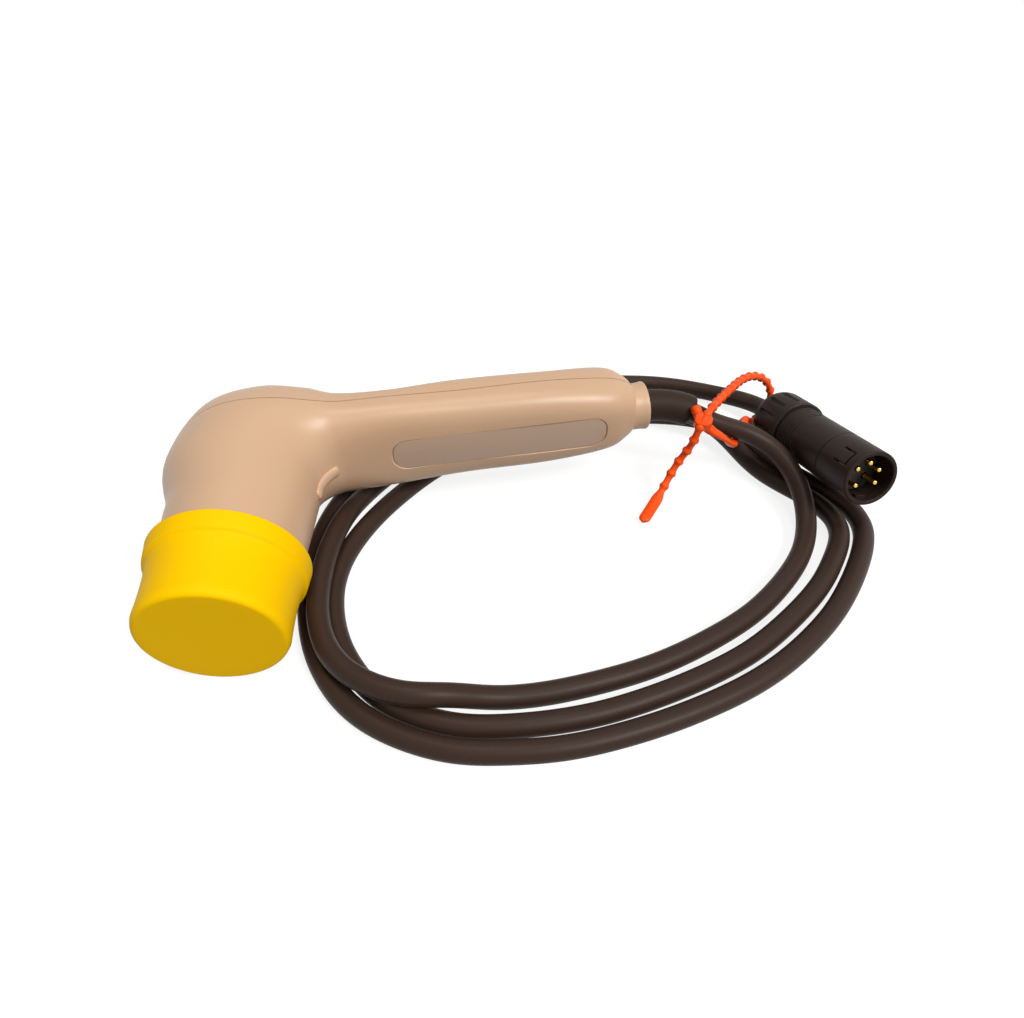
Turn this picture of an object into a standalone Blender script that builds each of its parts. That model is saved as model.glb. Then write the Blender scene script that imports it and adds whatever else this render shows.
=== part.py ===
"""Ultrasound therapy head with its cable and plug, at real size in metres, +Z up.

The head lies on its side, as it comes to rest: the flank of its protective cap is on the table, and
the handle is over three loose turns of its own cable. The head is built in its own frame, whose
origin is where the neck's axis meets the elbow: +X towards the handle, -Y along the neck towards
the treatment face, and Z across the head. That frame is tipped until the cap's flank lies flat.
"""

import math

import bmesh
import bpy
from mathutils import Matrix, Vector

# Clearances
SEAT_GAP = 0.0003
CABLE_CLEARANCE = 0.0006

# Housing, in the head's frame
WALL = 0.0022
NECK_MOUTH_AT = 0.062
NECK_MOUTH_RADIUS = 0.0201
NECK_ROOT_AT = 0.0375
NECK_TAPER = 0.0018
NECK_ROOT_RADIUS = NECK_MOUTH_RADIUS + NECK_TAPER
HANDLE_YAW = math.radians(8.5)
PARTING_DEPTH = -0.0097
CUT_REACH = 0.060
RING_POINTS = 40
RINGS_PER_SECTION = 3
# Each section: inner end x, y, outer end x, y, half height across the head, and squareness
ELBOW_AND_HANDLE_SECTIONS = [
    (0.0225, -0.0290, -0.0262, -0.0215, 0.0231, 2.0),
    (0.0229, -0.0252, -0.0200, 0.0005, 0.0236, 2.0),
    (0.0245, -0.0216, -0.0036, 0.0095, 0.0223, 2.05),
    (0.0272, -0.0186, 0.0141, 0.0092, 0.0197, 2.3),
    (0.0318, -0.0163, 0.0263, 0.0054, 0.0180, 2.7),
    (0.0460, -0.0131, 0.0434, 0.0057, 0.0175, 3.1),
    (0.0690, -0.0099, 0.0660, 0.0117, 0.0164, 3.1),
    (0.0980, -0.0066, 0.0950, 0.0154, 0.0158, 3.1),
    (0.1185, -0.0037, 0.1155, 0.0198, 0.0136, 2.9),
    (0.1257, -0.0006, 0.1230, 0.0185, 0.0109, 2.4),
    (0.1284, 0.0013, 0.1262, 0.0163, 0.0082, 2.0),
]
COVER_END = 0.1268
COLLAR_DEPTH = -0.0104
COLLAR_START = 0.1240
COLLAR_MOUTH = 0.1318
COLLAR_RADIUS = 0.0081
COLLAR_FLARE = 0.0003
COLLAR_LIP = 0.0030
BOOT_SEAT = 0.1210
FLANGE_ROOM = 0.0036

# Label recess, in its own frame along the handle's inner face
LABEL_CENTRE = (0.0812, -0.0085)
LABEL_YAW = math.radians(7.2)
LABEL_LENGTH = 0.0748
LABEL_HEIGHT = 0.0145
LABEL_CORNER = 0.0062
LABEL_RECESS = 0.0011
LABEL_THICKNESS = 0.0005

# Raised rib inside the elbow
RIB_RADIUS = 0.0011
RIB_PROUD = 0.0009
RIB_SPAN = (1.5, 6.1)

# Treatment face and what stands behind it, as distances along the neck from the elbow
FACE_AT = 0.0792
FACE_TAPER = 0.0015
FACE_RADIUS = NECK_MOUTH_RADIUS - FACE_TAPER
FACE_THICKNESS = 0.0030
FACE_EDGE = 0.0009
SPIGOT_INNER_AT = 0.0510
SPIGOT_WALL = 0.0024
SEAL_AT = 0.0570
SEAL_CORD = 0.0016
SPIGOT_RADIUS = NECK_MOUTH_RADIUS - WALL - SEAT_GAP
SPIGOT_BORE = SPIGOT_RADIUS - SPIGOT_WALL
HOLDER_RADIUS = SPIGOT_BORE - SEAT_GAP
HOLDER_WALL = 0.0021
HOLDER_BORE = HOLDER_RADIUS - HOLDER_WALL
HOLDER_HEIGHT = 0.0035
CRYSTAL_RADIUS = HOLDER_BORE - SEAT_GAP
CRYSTAL_THICKNESS = 0.0020
CARRIER_AT = 0.0640
CARRIER_THICKNESS = 0.0020
SPRING_RADIUS = 0.0040
SPRING_WIRE = 0.0009
SPRING_TURNS = 4

# Protective cap
CAP_END_AT = 0.0815
CAP_LENGTH = 0.0264
CAP_END_WALL = 0.00185
CAP_END_RADIUS = FACE_RADIUS + SEAT_GAP + CAP_END_WALL
CAP_RIM_WALL = 0.00315
CAP_RIM_RADIUS = NECK_MOUTH_RADIUS + SEAT_GAP + CAP_RIM_WALL
CAP_RIM_ROUND = 0.0005
CAP_BAND = 0.0058
CAP_STEP = 0.0005
CAP_WAIST = 0.0003
CAP_EDGE = 0.0016

# Board and its parts in the handle
BOARD_START = 0.0400
BOARD_LENGTH = 0.0520
BOARD_WIDTH = 0.0240
BOARD_THICKNESS = 0.0016
BOARD_FRONT = -0.0145
BOSS_RADIUS = 0.0030
BOSS_FROM_END = 0.0060
BOSS_FROM_SIDE = 0.0040
# Each boss: its place along the handle, across it, and the depth of its root in the wall
BOARD_BOSSES = (
    (BOARD_START + BOSS_FROM_END, BOARD_WIDTH / 2 - BOSS_FROM_SIDE, -0.0182),
    (BOARD_START + BOARD_LENGTH - BOSS_FROM_END, BOSS_FROM_SIDE - BOARD_WIDTH / 2, -0.0189),
)
SCREW_SHANK = 0.0009
SCREW_HEAD = 0.0020
SCREW_HEAD_HEIGHT = 0.0013
SCREW_LENGTH = 0.0050
COIL_AT = 0.0560
COIL_RADIUS = 0.0065
COIL_HEIGHT = 0.0080
CAPACITOR_AT = 0.0720
CAPACITOR_SIZE = (0.0050, 0.0130, 0.0090)
LEAD_RADIUS = 0.0007
# Pads on the board: distance from its end, and places across it
PAD_FROM_END = 0.0045
SIGNAL_PAD = 0.0015
GROUND_PAD = 0.0070
LEAD_RISE = 0.0010
LEAD_OVERHANG = 0.0030
# Points of the two leads through the elbow, in the head's frame
SIGNAL_ROUTE = [(0.0170, -0.0110, 0.0030), (0.0045, -0.0240, 0.0030), (0.0010, -0.0450, 0.0015)]
SIGNAL_BEND = 0.0020
GROUND_ROUTE = [(0.0150, -0.0130, 0.0085), (0.0040, -0.0260, 0.0125)]
GROUND_LAST = (0.0005, -0.0400)
GROUND_STANDS_IN = 0.0002
# Points of a core between the cable and the board: spread across, and distances along the handle
CORE_SIDE = 0.0015
CORE_SPREAD = (1.0, 1.5, 2.5, 3.0)
CORE_FREE = 0.0040
CORE_OVERHANG = 0.0020
CORE_PAD_FROM_END = 0.0040

# Cable clamp
CLAMP_AT = 0.1090
CLAMP_POST_RADIUS = 0.0024
CLAMP_POST_SPACING = 0.0146
CLAMP_PAST_POST = 0.0025
CLAMP_SIZE = (0.0050, CLAMP_POST_SPACING + 2 * CLAMP_PAST_POST, 0.0022)
CLAMP_ROOT = -0.0194
CLAMP_SCREW_LENGTH = 0.0060
SADDLE_WIDTH = 0.0050

# Strain relief boot
BOOT_RADIUS = 0.0056
BOOT_FLANGE_RADIUS = 0.0074
BOOT_FLANGE = 0.0022
BOOT_VISIBLE = 0.0178
BOOT_EDGE = 0.0016
BOOT_SIDES = 24

# Cable
CABLE_DIAMETER = 0.0068
CABLE_START = 0.1045
CABLE_LONGEST_STEP = 0.0200
CABLE_SAG_OF_CHORD = 0.0005
# Points of the boot's bend, in the handle's frame
BOOT_MIDDLE = (0.1406, -0.0113, -0.0006)
BOOT_MOUTH = (0.1490, -0.0140, -0.0022)
# The route on the table, from the boot round three loose turns to the plug
CABLE_ROUTE = [
    (0.1022, 0.0369, 0.0250), (0.1082, 0.0375, 0.0226), (0.1153, 0.0376, 0.0200),
    (0.1220, 0.0362, 0.0174), (0.1274, 0.0328, 0.0147), (0.1312, 0.0263, 0.0121),
    (0.1331, 0.0178, 0.0096), (0.1335, 0.0103, 0.0063), (0.1318, 0.0021, 0.0041),
    (0.1276, -0.0072, 0.0034), (0.1203, -0.0173, 0.0034), (0.1049, -0.0324, 0.0034),
    (0.0880, -0.0431, 0.0034), (0.0677, -0.0524, 0.0034), (0.0422, -0.0589, 0.0034),
    (0.0332, -0.0601, 0.0034), (0.0257, -0.0607, 0.0038), (0.0199, -0.0612, 0.0052),
    (0.0151, -0.0618, 0.0074), (0.0104, -0.0628, 0.0097), (0.0046, -0.0635, 0.0108),
    (-0.0024, -0.0628, 0.0110), (-0.0149, -0.0568, 0.0110), (-0.0230, -0.0479, 0.0109),
    (-0.0278, -0.0345, 0.0101), (-0.0289, -0.0272, 0.0098), (-0.0292, -0.0180, 0.0098),
    (-0.0288, -0.0099, 0.0099), (-0.0278, -0.0023, 0.0099), (-0.0262, 0.0054, 0.0097),
    (-0.0249, 0.0118, 0.0086), (-0.0219, 0.0223, 0.0058), (-0.0159, 0.0343, 0.0040),
    (-0.0069, 0.0463, 0.0034), (0.0071, 0.0603, 0.0034), (0.0256, 0.0713, 0.0034),
    (0.0436, 0.0763, 0.0043), (0.0576, 0.0766, 0.0073), (0.0696, 0.0744, 0.0107),
    (0.0816, 0.0711, 0.0113), (0.0926, 0.0677, 0.0106), (0.1031, 0.0639, 0.0094),
    (0.1111, 0.0593, 0.0078), (0.1162, 0.0533, 0.0060), (0.1192, 0.0469, 0.0046),
    (0.1222, 0.0402, 0.0036), (0.1256, 0.0332, 0.0034), (0.1304, 0.0269, 0.0034),
    (0.1360, 0.0206, 0.0034), (0.1409, 0.0140, 0.0034), (0.1435, 0.0066, 0.0034),
    (0.1429, -0.0002, 0.0034), (0.1393, -0.0073, 0.0034), (0.1352, -0.0136, 0.0034),
    (0.1292, -0.0219, 0.0034), (0.1221, -0.0294, 0.0034), (0.1151, -0.0357, 0.0034),
    (0.1069, -0.0424, 0.0034), (0.0977, -0.0488, 0.0034), (0.0785, -0.0581, 0.0034),
    (0.0555, -0.0659, 0.0034), (0.0424, -0.0684, 0.0034), (0.0340, -0.0692, 0.0034),
    (0.0252, -0.0695, 0.0034), (0.0192, -0.0694, 0.0034), (0.0144, -0.0689, 0.0034),
    (0.0098, -0.0679, 0.0034), (0.0032, -0.0654, 0.0034), (-0.0040, -0.0618, 0.0034),
    (-0.0111, -0.0563, 0.0034), (-0.0169, -0.0485, 0.0034), (-0.0213, -0.0404, 0.0034),
    (-0.0243, -0.0315, 0.0034), (-0.0260, -0.0218, 0.0034), (-0.0261, -0.0133, 0.0034),
    (-0.0248, -0.0044, 0.0034), (-0.0220, 0.0039, 0.0034), (-0.0179, 0.0126, 0.0034),
    (-0.0122, 0.0218, 0.0034), (-0.0009, 0.0363, 0.0034), (0.0106, 0.0473, 0.0034),
    (0.0256, 0.0573, 0.0034), (0.0426, 0.0643, 0.0034), (0.0596, 0.0688, 0.0034),
    (0.0736, 0.0713, 0.0034), (0.0866, 0.0720, 0.0034), (0.0986, 0.0709, 0.0034),
    (0.1086, 0.0681, 0.0034), (0.1166, 0.0641, 0.0034), (0.1223, 0.0589, 0.0034),
    (0.1254, 0.0525, 0.0034), (0.1278, 0.0457, 0.0034), (0.1311, 0.0391, 0.0034),
    (0.1356, 0.0329, 0.0034), (0.1407, 0.0267, 0.0034), (0.1460, 0.0206, 0.0034),
    (0.1501, 0.0140, 0.0034), (0.1519, 0.0068, 0.0034), (0.1510, -0.0004, 0.0034),
    (0.1466, -0.0096, 0.0034), (0.1409, -0.0186, 0.0034), (0.1345, -0.0273, 0.0034),
    (0.1268, -0.0362, 0.0034), (0.1184, -0.0439, 0.0034), (0.1088, -0.0515, 0.0034),
    (0.0986, -0.0579, 0.0034), (0.0885, -0.0629, 0.0034), (0.0667, -0.0710, 0.0034),
    (0.0420, -0.0766, 0.0034), (0.0252, -0.0771, 0.0034), (0.0138, -0.0764, 0.0034),
    (0.0044, -0.0738, 0.0034), (-0.0046, -0.0698, 0.0034), (-0.0125, -0.0648, 0.0034),
    (-0.0190, -0.0585, 0.0034), (-0.0239, -0.0516, 0.0034), (-0.0283, -0.0429, 0.0034),
    (-0.0314, -0.0335, 0.0034), (-0.0336, -0.0222, 0.0034), (-0.0345, -0.0129, 0.0034),
    (-0.0344, -0.0030, 0.0034), (-0.0324, 0.0133, 0.0034), (-0.0279, 0.0273, 0.0034),
    (-0.0209, 0.0413, 0.0034), (-0.0109, 0.0553, 0.0034), (0.0026, 0.0693, 0.0034),
    (0.0196, 0.0828, 0.0034), (0.0386, 0.0918, 0.0034), (0.0596, 0.0963, 0.0034),
    (0.0840, 0.0963, 0.0034), (0.0945, 0.0953, 0.0034), (0.1032, 0.0933, 0.0034),
    (0.1108, 0.0903, 0.0036), (0.1176, 0.0866, 0.0040), (0.1240, 0.0822, 0.0048),
    (0.1298, 0.0774, 0.0059),
]
# Where the cable runs into the plug, behind the plug's mouth
CABLE_IN_PLUG = (0.072, 0.066, 0.060, 0.054, 0.047)

# Plug, as distances behind its mouth
PLUG_MOUTH = (0.1474, 0.0018, 0.0253)
PLUG_YAW = math.radians(-80.5)
PLUG_PITCH = math.radians(15.0)
PLUG_RADIUS = 0.0095
PLUG_BORE = 0.0080
SLEEVE_LENGTH = 0.0170
BODY_END = 0.0440
BODY_SPIGOT_END = 0.0525
BODY_SPIGOT_RADIUS = 0.0083
BODY_BORE = 0.0068
PLUG_EDGE = 0.0004
INSERT_FRONT = 0.0085
INSERT_THICKNESS = 0.0075
PIN_RADIUS = 0.0009
PIN_FRONT = 0.0020
PIN_TAIL = 0.0035
PIN_CIRCLE = 0.0046
PIN_ANGLES = (20, 80, 140, 220, 320)
LATCH_ANGLE = math.radians(118)
LATCH_LENGTH = 0.0045
LATCH_WIDTH = 0.0060
LATCH_FRONT = 0.0028
LATCH_SLOT = 0.0007
NUT_RADIUS = 0.0108
NUT_REAR_RADIUS = 0.0086
NUT_END = 0.0620
NUT_ROUND = 0.0050
NUT_REAR_WALL = 0.0035
NUT_GROOVES = 12
NUT_GROOVE_RADIUS = 0.0008
NUT_GROOVE_LENGTH = 0.0080
NUT_GROOVE_FROM_FACE = 0.0030

# Cable tie
TIE_BEAD = 0.0018
TIE_NECK = 0.0011
TIE_PITCH = 0.0052
TIE_PADDLE_LENGTH = 0.0140
TIE_PADDLE = (0.0025, 0.0010)
TIE_EYE = (0.0062, 0.0050, 0.0058)
TIE_EYE_PLACE = (0.0986, 0.0303, 0.0294)
TIE_EYE_TURN = (math.radians(35), 0, math.radians(-20))
TIE_ROUTE = [
    (0.0960, 0.0347, 0.0332), (0.0974, 0.0325, 0.0305), (0.0990, 0.0308, 0.0279),
    (0.1023, 0.0300, 0.0256), (0.1072, 0.0300, 0.0225), (0.1105, 0.0318, 0.0183),
    (0.1136, 0.0370, 0.0150), (0.1176, 0.0445, 0.0138), (0.1222, 0.0530, 0.0120),
    (0.1262, 0.0600, 0.0080), (0.1295, 0.0640, 0.0036), (0.1345, 0.0700, 0.0020),
    (0.1392, 0.0742, 0.0040), (0.1405, 0.0762, 0.0090), (0.1380, 0.0758, 0.0145),
    (0.1335, 0.0735, 0.0190), (0.1270, 0.0685, 0.0228), (0.1207, 0.0613, 0.0256),
    (0.1148, 0.0530, 0.0280), (0.1076, 0.0428, 0.0303), (0.1029, 0.0355, 0.0321),
    (0.0990, 0.0298, 0.0320), (0.0966, 0.0276, 0.0280), (0.0956, 0.0276, 0.0230),
    (0.0937, 0.0282, 0.0178), (0.0912, 0.0280, 0.0130), (0.0889, 0.0264, 0.0088),
    (0.0866, 0.0240, 0.0056), (0.0827, 0.0187, 0.0031), (0.0772, 0.0108, 0.0016),
]

# Moves the whole object, so that the head with its cap stands centred on the origin
CENTRING = (-0.00104, 0.00024, 0.00005)

# The head's place over the table
HEAD_X = -0.0524
HEAD_Y = 0.0313
HEAD_PITCH = math.atan((CAP_RIM_RADIUS - CAP_END_RADIUS) / CAP_LENGTH)
HEAD_LIFT = CAP_END_AT * math.sin(HEAD_PITCH) + CAP_END_RADIUS * math.cos(HEAD_PITCH)

TURN_STEPS = 40


def new_scene():
    """Empties the scene and makes the two collections."""
    for obj in list(bpy.data.objects):
        bpy.data.objects.remove(obj, do_unlink=True)
    made = []
    for name in ("ultrasound_therapy_head", "cutters"):
        collection = bpy.data.collections.new(name)
        bpy.context.scene.collection.children.link(collection)
        made.append(collection)
    return made


PARTS, CUTTERS = new_scene()


def material(name, colour, roughness, metallic=0.0):
    made = bpy.data.materials.new(name)
    made.use_nodes = True
    shader = made.node_tree.nodes["Principled BSDF"]
    shader.inputs["Base Color"].default_value = (*colour, 1.0)
    shader.inputs["Roughness"].default_value = roughness
    shader.inputs["Metallic"].default_value = metallic
    return made


def add(name, data, parent, look=None, location=(0, 0, 0), rotation=(0, 0, 0)):
    """An object in the parts, or among the cutters when it has no material."""
    obj = bpy.data.objects.new(name, data)
    obj.parent = parent
    obj.location = location
    obj.rotation_euler = rotation
    if look is None and data is not None:
        CUTTERS.objects.link(obj)
        obj.hide_render = True
        obj.display_type = "WIRE"
    else:
        PARTS.objects.link(obj)
    if look is not None:
        data.materials.append(look)
    if look is not None and isinstance(data, bpy.types.Mesh):
        data.shade_smooth()
        data.set_sharp_from_angle(angle=math.radians(35))
    return obj


def frame(name, parent, location=(0, 0, 0), rotation=(0, 0, 0)):
    return add(name, None, parent, None, location, rotation)


def turned(name, parent, profile, look=None, location=(0, 0, 0), steps=TURN_STEPS, closed=False):
    """Turns a profile of (radius, height) points about local Z. It runs down the outer side."""
    mesh = bpy.data.meshes.new(name)
    count = len(profile)
    edges = [(i, i + 1) for i in range(count - 1)]
    if closed:
        edges.append((count - 1, 0))
    mesh.from_pydata([(r, 0, z) for r, z in profile], edges, [])
    obj = add(name, mesh, parent, look, location)
    screw = obj.modifiers.new("turn", "SCREW")
    screw.axis = "Z"
    screw.steps = steps
    screw.render_steps = steps
    screw.use_merge_vertices = True
    screw.merge_threshold = 0.00001
    screw.use_smooth_shade = True
    return obj


def arc(centre, radius, start, end, steps=4):
    """Points of an arc in a profile, angles in degrees from +X."""
    points = []
    for i in range(steps + 1):
        angle = math.radians(start + (end - start) * i / steps)
        points.append((centre[0] + radius * math.cos(angle), centre[1] + radius * math.sin(angle)))
    return points


def block(name, parent, size, corner=0.0, look=None, location=(0, 0, 0), rotation=(0, 0, 0), axis=2):
    """A box with the four edges that run along one axis rounded."""
    shape = bmesh.new()
    bmesh.ops.create_cube(shape, size=1.0)
    bmesh.ops.scale(shape, vec=size, verts=shape.verts)
    if corner:
        along = []
        for edge in shape.edges:
            run = edge.verts[0].co - edge.verts[1].co
            if abs(run[axis]) > 0.9 * run.length:
                along.append(edge)
        bmesh.ops.bevel(shape, geom=along, offset=corner, segments=5, profile=0.5, affect="EDGES")
    mesh = bpy.data.meshes.new(name)
    shape.to_mesh(mesh)
    shape.free()
    return add(name, mesh, parent, look, location, rotation)


def loft(name, parent, rings, look=None, closed=False):
    """A skin over equal rings of points, capped at both ends, or closed on itself like a tyre."""
    shape = bmesh.new()
    rows = [[shape.verts.new(point) for point in ring] for ring in rings]
    count = len(rows[0])
    pairs = list(zip(rows, rows[1:]))
    if closed:
        pairs.append((rows[-1], rows[0]))
    for low, high in pairs:
        for i in range(count):
            j = (i + 1) % count
            shape.faces.new((low[i], low[j], high[j], high[i]))
    if not closed:
        shape.faces.new(list(reversed(rows[0])))
        shape.faces.new(rows[-1])
    bmesh.ops.recalc_face_normals(shape, faces=shape.faces)
    mesh = bpy.data.meshes.new(name)
    shape.to_mesh(mesh)
    shape.free()
    return add(name, mesh, parent, look)


def tube(name, parent, points, radius, look=None, resolution=2):
    """A round wire on straight stretches between its points."""
    curve = bpy.data.curves.new(name, "CURVE")
    curve.dimensions = "3D"
    curve.bevel_depth = radius
    curve.bevel_resolution = resolution
    curve.use_fill_caps = True
    spline = curve.splines.new("POLY")
    spline.points.add(len(points) - 1)
    for place, point in zip(spline.points, points):
        place.co = (*point, 1.0)
    return add(name, curve, parent, look)


def as_mesh(obj, look=None):
    """The curve object as a welded mesh object, so that it can be joined or cut."""
    bpy.context.view_layer.update()
    graph = bpy.context.evaluated_depsgraph_get()
    mesh = bpy.data.meshes.new_from_object(obj.evaluated_get(graph))
    shape = bmesh.new()
    shape.from_mesh(mesh)
    bmesh.ops.remove_doubles(shape, verts=shape.verts, dist=0.000001)
    shape.to_mesh(mesh)
    shape.free()
    name, place = obj.name, obj.matrix_world.copy()
    bpy.data.objects.remove(obj, do_unlink=True)
    made = add(name, mesh, None, look)
    made.matrix_world = place
    return made


def boolean(target, other, operation="DIFFERENCE"):
    modifier = target.modifiers.new(other.name, "BOOLEAN")
    modifier.operation = operation
    modifier.object = other


def spline_points(points, steps):
    """A smooth curve through the points (centripetal Catmull-Rom), with steps to each span."""
    path = [Vector(p) for p in points]
    path = [2 * path[0] - path[1], *path, 2 * path[-1] - path[-2]]
    out = []
    for a, b, c, d in zip(path, path[1:], path[2:], path[3:]):
        t1 = (b - a).length ** 0.5
        t2 = t1 + (c - b).length ** 0.5
        t3 = t2 + (d - c).length ** 0.5
        for i in range(steps):
            t = t1 + (t2 - t1) * i / steps
            ab = a * ((t1 - t) / t1) + b * (t / t1)
            bc = b * ((t2 - t) / (t2 - t1)) + c * ((t - t1) / (t2 - t1))
            cd = c * ((t3 - t) / (t3 - t2)) + d * ((t - t2) / (t3 - t2))
            abc = ab * ((t2 - t) / t2) + bc * (t / t2)
            bcd = bc * ((t3 - t) / (t3 - t1)) + cd * ((t - t1) / (t3 - t1))
            out.append(abc * ((t2 - t) / (t2 - t1)) + bcd * ((t - t1) / (t2 - t1)))
    out.append(path[-2])
    return out


def even_points(path, step):
    """Points at an even distance along a path, both ends included."""
    lengths = [0.0]
    for a, b in zip(path, path[1:]):
        lengths.append(lengths[-1] + (b - a).length)
    count = max(1, round(lengths[-1] / step))
    out = []
    span = 0
    for i in range(count + 1):
        want = lengths[-1] * i / count
        while span < len(path) - 2 and lengths[span + 1] < want:
            span += 1
        share = (want - lengths[span]) / (lengths[span + 1] - lengths[span])
        out.append(path[span].lerp(path[span + 1], share))
    return out


def relaxed(path, reach=5, rounds=2):
    """Each point moved to the mean of its neighbours, less near the ends, which stay."""
    for _ in range(rounds):
        last = len(path) - 1
        out = []
        for i in range(len(path)):
            near = min(reach, i, last - i)
            group = path[i - near:i + near + 1]
            out.append(sum(group, Vector()) / len(group))
        path = out
    return path


# Frames: the head, its neck's axis, its handle, the board's depth, the collar and the plug
TABLE = frame("table_frame", None, CENTRING)
HEAD = frame("head_frame", TABLE, (HEAD_X, HEAD_Y, HEAD_LIFT), (HEAD_PITCH, 0, 0))
NECK = frame("neck_frame", HEAD, rotation=(math.pi / 2, 0, 0))
HANDLE = frame("handle_frame", HEAD, rotation=(0, 0, HANDLE_YAW))
DEPTH = frame("depth_frame", HANDLE, rotation=(-math.pi / 2, 0, 0))
COLLAR = frame("collar_frame", HANDLE, (0, COLLAR_DEPTH, 0), (0, math.pi / 2, 0))
LABEL = frame("label_frame", HEAD, (*LABEL_CENTRE, 0), (0, 0, LABEL_YAW))
PLUG_DIRECTION = Vector((
    math.cos(PLUG_PITCH) * math.cos(PLUG_YAW),
    math.cos(PLUG_PITCH) * math.sin(PLUG_YAW),
    math.sin(PLUG_PITCH),
))
PLUG = frame("plug_frame", TABLE, PLUG_MOUTH, PLUG_DIRECTION.to_track_quat("Z", "Y").to_euler())
bpy.context.view_layer.update()

BEIGE = material("beige_plastic", (0.60, 0.40, 0.26), 0.42)
BEIGE_BACK = material("beige_plastic_back", (0.60, 0.40, 0.26), 0.42)
GREY_PLATE = material("label_grey", (0.45, 0.36, 0.31), 0.40)
YELLOW = material("yellow_cap", (1.0, 0.78, 0.0), 0.45)
ALUMINIUM = material("aluminium", (0.80, 0.80, 0.81), 0.25, 1.0)
SEAL_RUBBER = material("seal_rubber", (0.03, 0.03, 0.03), 0.60)
CERAMIC = material("silvered_ceramic", (0.85, 0.84, 0.80), 0.30, 1.0)
INSULATOR = material("white_insulator", (0.75, 0.74, 0.70), 0.50)
SPRING_STEEL = material("spring_steel", (0.70, 0.68, 0.62), 0.30, 1.0)
BOARD_GREEN = material("board_green", (0.03, 0.16, 0.07), 0.45)
FERRITE = material("coil_copper", (0.45, 0.20, 0.08), 0.40)
CAPACITOR_BLUE = material("capacitor_blue", (0.05, 0.13, 0.35), 0.45)
SCREW_STEEL = material("screw_steel", (0.62, 0.62, 0.63), 0.30, 1.0)
RED_LEAD = material("red_lead", (0.50, 0.03, 0.02), 0.50)
BLACK_LEAD = material("black_lead", (0.02, 0.02, 0.02), 0.50)
CLAMP_PLASTIC = material("clamp_plastic", (0.05, 0.05, 0.05), 0.50)
BOOT_RUBBER = material("boot_rubber", (0.022, 0.018, 0.015), 0.55)
CABLE_RUBBER = material("cable_rubber", (0.024, 0.018, 0.014), 0.45)
PLUG_BLACK = material("plug_black", (0.020, 0.015, 0.012), 0.50)
GLAND_RUBBER = material("gland_rubber", (0.04, 0.04, 0.04), 0.60)
GOLD = material("gold_plate", (0.90, 0.62, 0.22), 0.25, 1.0)
TIE_ORANGE = material("tie_orange", (1.0, 0.10, 0.01), 0.40)


def neck_radius(at):
    """The neck's outer radius at a distance from the elbow."""
    share = (NECK_MOUTH_AT - at) / (NECK_MOUTH_AT - NECK_ROOT_AT)
    return NECK_MOUTH_RADIUS + (NECK_ROOT_RADIUS - NECK_MOUTH_RADIUS) * share


def housing_sections():
    """Sections from the neck's mouth to the collar: inner end, outer end, half height, squareness."""
    sections = []
    for share in (0.0, 0.35, 0.7, 1.0):
        at = NECK_MOUTH_AT + (NECK_ROOT_AT - NECK_MOUTH_AT) * share
        radius = neck_radius(at)
        sections.append((radius, -at, -radius, -at, radius, 2.0))
    sections += ELBOW_AND_HANDLE_SECTIONS
    smooth = []
    last = len(sections) - 1
    for i in range(last):
        before = sections[max(i - 1, 0)]
        after = sections[min(i + 2, last)]
        for step in range(RINGS_PER_SECTION):
            t = step / RINGS_PER_SECTION
            row = []
            for a, b, c, d in zip(before, sections[i], sections[i + 1], after):
                bend = 2 * b + (c - a) * t + (2 * a - 5 * b + 4 * c - d) * t * t
                row.append(0.5 * (bend + (3 * b - a - 3 * c + d) * t ** 3))
            smooth.append(row)
    smooth.append(list(sections[last]))
    return smooth


def section_ring(section, inset=0.0, count=RING_POINTS):
    """The points of one superellipse section, drawn in by a wall."""
    inner = Vector((section[0], section[1], 0))
    outer = Vector((section[2], section[3], 0))
    across = (inner - outer).normalized()
    half_depth = (inner - outer).length / 2 - inset
    half_height = section[4] - inset
    power = 2 / section[5]
    ring = []
    for i in range(count):
        angle = 2 * math.pi * i / count
        c, s = math.cos(angle), math.sin(angle)
        u = math.copysign(abs(c) ** power, c) * half_depth
        w = math.copysign(abs(s) ** power, s) * half_height
        ring.append((inner + outer) / 2 + across * u + Vector((0, 0, w)))
    return ring


def handle_distance(section):
    """How far along the handle's axis a section's middle lies."""
    x = (section[0] + section[2]) / 2
    y = (section[1] + section[3]) / 2
    return x * math.cos(HANDLE_YAW) + y * math.sin(HANDLE_YAW)


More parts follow.
